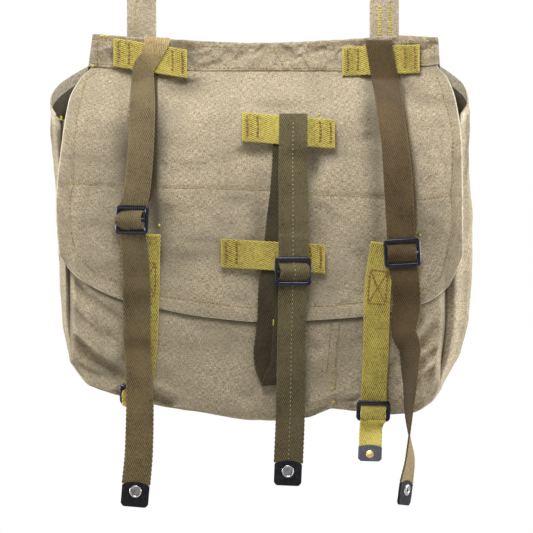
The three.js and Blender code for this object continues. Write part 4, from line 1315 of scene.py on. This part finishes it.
LARGE = (BUCKLE_WIDTH, 2 * BAR_PITCH, 0, BAR)  # width, pitch, height and thickness of the bar across it
SMALL = (CLOSURE_BUCKLE_WIDTH, CLOSURE_PITCH, CLOSURE_PITCH / 2, CLOSURE_BAR)
BUCKLES = {
    "left_buckle": (LEFT_BUCKLE, LARGE),
    "centre_buckle": (CENTRE_BUCKLE, LARGE),
    "right_buckle": (RIGHT_BUCKLE, LARGE),
    "left_closure_buckle": (LEFT_CLOSURE_BUCKLE, SMALL),
    "right_closure_buckle": (RIGHT_CLOSURE_BUCKLE, SMALL),
}
for node, (buckle, (width, pitch, height, thick)) in BUCKLES.items():
    mesh = bmesh.new()
    bent_frame(mesh, width, pitch + BAR)
    cross_bar(mesh, width, height, thick)
    bmesh.ops.recalc_face_normals(mesh, faces=mesh.faces)
    along = (buckle_at(buckle, BAR_PITCH) - buckle_at(buckle, -BAR_PITCH)).normalized()
    sideways = (Vector((1, 0, 0)) - along * along.x).normalized()
    across = Matrix.Rotation(math.radians(buckle[4]), 3, along) @ sideways
    seat(mesh, buckle_at(buckle, 0), across, along)
    piece_of(node + "_steel", mesh, enamel, "buckle_steel", node)

# Closure straps. Two lengths of the mustard webbing, sewn on the flap with a stitched box. Each hangs down
# the front to a slide buckle, passes behind its top bar and over the lower one, and ends in a tab.
CLOSURE_WIDTH = 22
CLOSURE_TAIL = 30
TAIL_WIDTH = 19
# A lighter copy of the mustard webbing for the tails: painted light.
lit_mustard_tail = webbing_material("mustard webbing of the tail in painted light", "#e8d976", "#a08f38", "#eedd82")
CLOSURE_BOX = [(-7.5, 24), (7.5, 24), (7.5, 52), (-7.5, 52)]  # across, along
CLOSURES = {  # buckle; top and end of the sewn part as x, drop; x above, in and below it; tail's offs
    "left": (LEFT_CLOSURE_BUCKLE, (-98, 167.5), (-99, 220), -102, -109, -103, (-0.4, 1.2)),
    "right": (RIGHT_CLOSURE_BUCKLE, (102.5, 175), (97, 215), 94.2, 93.5, 91.4, (1.6, 7.6)),
}
for side, (buckle, top, sewn, above, x, below, tail) in CLOSURES.items():
    _, drop, lean, level, _ = buckle
    lead = 1.5 * CLOSURE_PITCH
    half = CLOSURE_PITCH / 2
    wrap = half + BAR / 2
    rows = [
        (*top, KEEPER_SEWN, 0, CLOSURE_WIDTH),
        (*sewn, KEEPER_SEWN, 0, CLOSURE_WIDTH),
        ((sewn[0] + above) / 2, (sewn[1] + drop) / 2, KEEPER_SEWN, 0, CLOSURE_WIDTH - 0.5),
        (above, drop - lead, KEEPER_SEWN, 0, CLOSURE_WIDTH - 1),
        (lerp(above, x, 0.4), drop - half, level - WEAVE, 0, CLOSURE_WIDTH - 1),
        (x, drop + 1, level + WEAVE - 0.4, 0, CLOSURE_WIDTH - 1),
        (x + half * lean, drop + half, level + WEAVE, 0, CLOSURE_WIDTH - 1),
        (x + half * lean, drop + wrap, level, 0, CLOSURE_WIDTH - 1.5),
        (lerp(x, below, 0.6), drop + wrap + 1.2, tail[0], 0, TAIL_WIDTH),
        (below, drop + wrap + 5, tail[0], 0, TAIL_WIDTH),
        (below - 0.6, drop + CLOSURE_TAIL, tail[1], 0, TAIL_WIDTH),
    ]
    strap, path, length = strap_on(side + "_closure", "yellow_webbing", rows, mustard)
    strap.data.materials.append(lit_mustard_tail)
    # Below the lower bar the tail gets the lighter webbing, as painted light in place of the light it
    # catches hanging free.
    bar_level = place(x, 0, drop + half).z
    for face in strap.data.polygons:
        face.material_index = int(face.center.z < bar_level)
    ends[side + "_closure"] = path(1)
    lines = [list(pair) for pair in zip(CLOSURE_BOX, CLOSURE_BOX[1:] + CLOSURE_BOX[:1])]
    lines += [[CLOSURE_BOX[0], CLOSURE_BOX[2]], [CLOSURE_BOX[1], CLOSURE_BOX[3]]]
    rows = sew(
        side + "_closure_stitching", lines, face_of(path, length), brown_thread, "yellow_webbing",
        long=2.8, gap=0.2, wide=1.6,
    )

# Tabs. Each strap's end is capped with dyed leather, black on the olive straps and dark grey on the closure
# straps, cut with a round top and clipped lower corners, and pressed flat over the webbing.
STRAP_TIP = (23.4, 19.4, 2.2)  # width, height, thickness
CLOSURE_TIP = (20, 13, 2)
GAP = 0.3
TAB_DOME = 0.16  # rise of its round top and length of its body, as shares of its height
TAB_BODY = 0.95
TAB_CLIP = 2.2  # how much is cut off a corner, over these shares of its width and height
CLIP_SIDE = 0.2
CLIP_END = 0.15
CLIP_LIFT = 0.6
TAB_SAG = [(0.35, 9, 23)]
SHARP = 0.9  # edges turning by more than this are rounded, this far
ROUNDED = 0.5
PORE = 0.9
SCUFF = 4


def leather_material(name, dye, scuffed, roughness):
    """Dyed leather with a fine grain: nearly smooth, a soft sheen, greyer where it is scuffed."""
    material, tree, shader = new_material(name)
    spot = add(tree, "TexCoord", {}, out="Object")
    pores = add(tree, "TexVoronoi", {"Vector": spot, "Scale": 1 / (PORE * MM)}, out="Distance")
    scuffs = add(tree, "TexNoise", {"Vector": spot, "Scale": 1 / (SCUFF * MM), "Detail": 4})
    rubbed = add(tree, "MapRange", {"Value": scuffs, "From Min": 0.5, "From Max": 0.75})
    colour = add(tree, "Mix", {0: rubbed, 6: linear(dye), 7: linear(scuffed)}, data_type="RGBA", out=2)
    tree.links.new(colour, shader.inputs["Base Color"])
    grain = add(tree, "Math", {0: pores, 1: scuffs}, operation="ADD")
    bump = add(tree, "Bump", {"Height": grain, "Strength": 0.4, "Distance": 0.3 * MM})
    tree.links.new(bump, shader.inputs["Normal"])
    shader.inputs["Roughness"].default_value = roughness
    shader.inputs["Specular IOR Level"].default_value = 0.15
    return material


black_leather = leather_material("black dyed leather", "#16151b", "#2c2b34", 0.6)
grey_leather = leather_material("dark grey leather", "#57555f", "#6e6c76", 0.5)
tip_seats = {}
for side, (centre, along, across, _) in ends.items():
    width, height, thick = CLOSURE_TIP if "closure" in side else STRAP_TIP
    mesh = bmesh.new()
    bmesh.ops.create_grid(mesh, x_segments=16, y_segments=14, size=0.5)
    for vert in mesh.verts:
        out = abs(2 * vert.co.x)
        low = 0.5 - vert.co.y
        dome = height * TAB_DOME * (1 - out ** 2) * (1 - low)
        clip = max(0, out - (1 - CLIP_SIDE)) / CLIP_SIDE * max(0, low - (1 - CLIP_END)) / CLIP_END
        clip *= TAB_CLIP
        sag = crumple(TAB_SAG, vert.co.x * width, vert.co.y * height)
        side_x = vert.co.x * (width - clip)
        vert.co = (side_x, vert.co.y * height * TAB_BODY + dome + clip * CLIP_LIFT, sag)
    bmesh.ops.solidify(mesh, geom=mesh.faces, thickness=thick)
    bmesh.ops.translate(mesh, vec=(0, 0, thick / 2), verts=mesh.verts)
    rims = [edge for edge in mesh.edges if edge.calc_face_angle(0) > SHARP]
    bmesh.ops.bevel(
        mesh, geom=rims, offset=ROUNDED, segments=2, profile=0.5, affect="EDGES", material=-1,
    )
    bmesh.ops.recalc_face_normals(mesh, faces=mesh.faces)
    middle = centre + along * (height / 2 + GAP) * MM
    seat(mesh, middle, across, along)
    leather = grey_leather if "closure" in side else black_leather
    piece_of(side + "_tab_leather", mesh, leather, "tab", side + "_tip")
    tip_seats[side] = (middle, along, across, thick)

# Snap fasteners. Pressed metal halves riveted through the tabs: bright steel studs on the left and middle
# ones, their hollows darker steel as painted shade and painted dark reflection, a steel socket ring on the
# back of the right one, brass caps on the others.
STUD = [  # radius, height
    (0, 0.9), (2.4, 1), (3.5, 0.8), (3.7, 1), (3.9, 1.5), (4.3, 1.9), (4.7, 1.95), (5.1, 1.6), (5.3, 1),
    (5.3, 0),
]
RING = [(1.7, 0.2), (1.8, 1.1), (2.6, 1.5), (4.4, 1.5), (5, 0.9), (5.1, 0)]
CAP = [(0, 0.6), (2.6, 0.55), (3.2, 0.35), (3.5, 0)]
RECESS = 3.6  # radius of the stud's hollow


def metal_material(name, dark, light, stain_size, smooth, dull):
    """Bare pressed metal: it mirrors the lights, a little blurred and darker where it is stained."""
    material, tree, shader = new_material(name)
    spot = add(tree, "TexCoord", {}, out="Object")
    scale = 1 / (stain_size * MM)
    stain = add(tree, "TexNoise", {"Vector": spot, "Scale": scale, "Detail": 4})
    colour = add(tree, "Mix", {0: stain, 6: linear(dark), 7: linear(light)}, data_type="RGBA", out=2)
    tree.links.new(colour, shader.inputs["Base Color"])
    rough = add(tree, "MapRange", {"Value": stain, "To Min": smooth, "To Max": dull})
    tree.links.new(rough, shader.inputs["Roughness"])
    shader.inputs["Metallic"].default_value = 1
    return material


steel = metal_material("pressed bright steel", "#85868c", "#dcdcda", 2.2, 0.12, 0.42)
shaded_recess_steel = metal_material("steel of the hollow in painted shade", "#44464f", "#a5a6ab", 2.2, 0.2, 0.5)
brass = metal_material("worn brass", "#c9a45c", "#f0d9a4", 2, 0.2, 0.5)
SNAPS = {  # profile, face of the tab, distance above its middle, metal, slot
    "left": (STUD, 1, 4, steel, "snap_steel"),
    "centre": (STUD, 1, 3, steel, "snap_steel"),
    "right": (RING, -1, 4, steel, "snap_steel"),
    "left_closure": (CAP, 1, 0, brass, "snap_brass"),
    "right_closure": (CAP, 1, 0, brass, "snap_brass"),
}
for side, (profile, face, above, metal, slot) in SNAPS.items():
    middle, along, across, thick = tip_seats[side]
    mesh = bmesh.new()
    corners = [mesh.verts.new((radius, 0, height)) for radius, height in profile]
    chain = [mesh.edges.new(pair) for pair in zip(corners, corners[1:])]
    bmesh.ops.spin(
        mesh, geom=corners + chain, cent=(0, 0, 0), axis=(0, 0, 1), angle=2 * math.pi, steps=40,
        use_merge=True,
    )
    bmesh.ops.remove_doubles(mesh, verts=mesh.verts, dist=0.001)
    bmesh.ops.recalc_face_normals(mesh, faces=mesh.faces)
    # Faces inside a stud's hollow get the darker steel: painted shade and painted dark reflection.
    for part in mesh.faces:
        part.material_index = int(profile is STUD and part.calc_center_median().xy.length < RECESS)
    outward = along.cross(across) * face
    seat(mesh, middle + (outward * thick / 2 - along * above) * MM, across * face, along)
    snap = piece_of(side + "_snap_metal", mesh, metal, slot, side + "_snap")
    snap.data.materials.append(shaded_recess_steel)

# Studio. A pale floor well below the hanging bag and a white surround. Two soft boxes stand in front, an
# edge light at each side, a soft box above and a weak one low down, and a long lens looks at the front.
FLOOR_Z = -1.5
FLOOR_RADIUS = 0.9
FILL = (0.36, 0.22)  # light of the surround on the bag from below and from above; it looks pure white itself
SHINE = 2.4  # how much brighter it is in polished metal
floor_paint, tree, shader = new_material("pale matt floor")
shader.inputs["Base Color"].default_value = linear("#f4f4f2")
shader.inputs["Roughness"].default_value = 0.9
mesh = bmesh.new()
bmesh.ops.create_circle(mesh, cap_ends=True, segments=64, radius=FLOOR_RADIUS)
bmesh.ops.translate(mesh, vec=(0, 0, FLOOR_Z), verts=mesh.verts)
data = bpy.data.meshes.new("floor")
mesh.to_mesh(data)
mesh.free()
data.materials.append(floor_paint)
floor = bpy.data.objects.new("floor", data)
bpy.context.collection.objects.link(floor)

world = bpy.data.worlds.new("white surround")
world.use_nodes = True
tree = world.node_tree
path = add(tree, "LightPath", {}).node.outputs
towards = add(tree, "TexCoord", {}, out="Generated")
upward = add(tree, "SeparateXYZ", {0: towards}, out="Z")
fill = {"Value": upward, "From Min": -0.5, "From Max": 0.7, "To Min": FILL[0], "To Max": FILL[1]}
soft = add(tree, "MapRange", fill)
shine = add(tree, "MapRange", {"Value": path["Is Glossy Ray"], "To Min": 1, "To Max": SHINE})
lit = add(tree, "Math", {0: soft, 1: shine}, operation="MULTIPLY")
glow = add(tree, "MapRange", {"Value": path["Is Camera Ray"], "To Min": lit, "To Max": 1})
tree.links.new(glow, tree.nodes["Background"].inputs["Strength"])
hues = {0: path["Is Camera Ray"], 6: linear("#fff8ef"), 7: linear("#ffffff")}
hue = add(tree, "Mix", hues, data_type="RGBA", out=2)
tree.links.new(hue, tree.nodes["Background"].inputs["Color"])
bpy.context.scene.world = world
bpy.context.scene.view_settings.view_transform = "Standard"

AIM = Vector((0.003, -0.03, -0.635))
LIGHTS = {  # place, size, watts
    "left softbox": ((-1.3, -1, -0.8), 0.7, 2.1),
    "right softbox": ((1.3, -1, -0.8), 0.7, 1.7),
    "left edge light": ((-1.2, 0.08, -0.45), 0.6, 15),
    "right edge light": ((1.2, 0.08, -0.45), 0.6, 20),
    "top softbox": ((-0.04, -0.34, -0.12), 0.34, 4.1),
    "low softbox": ((0, -0.45, -1.15), 0.4, 0.4),
}
for name, (spot, size, watts) in LIGHTS.items():
    light = bpy.data.lights.new(name, "AREA")
    light.shape = "DISK"
    light.size = size
    light.energy = watts
    lamp = bpy.data.objects.new(name, light)
    lamp.location = spot
    lamp.visible_camera = False
    lamp.rotation_euler = (AIM - Vector(spot)).to_track_quat("-Z", "Y").to_euler()
    bpy.context.collection.objects.link(lamp)

CAMERA_DISTANCE = 8
FRAME_WIDTH = 0.453  # metres across the picture at the bag's front
lens = bpy.data.cameras.new("long lens")
lens.sensor_width = 36
lens.lens = lens.sensor_width * CAMERA_DISTANCE / FRAME_WIDTH
camera = bpy.data.objects.new("camera", lens)
camera.location = AIM + Vector((0, -CAMERA_DISTANCE, 0))
camera.rotation_euler = (math.pi / 2, 0, 0)
bpy.context.collection.objects.link(camera)
bpy.context.scene.camera = camera
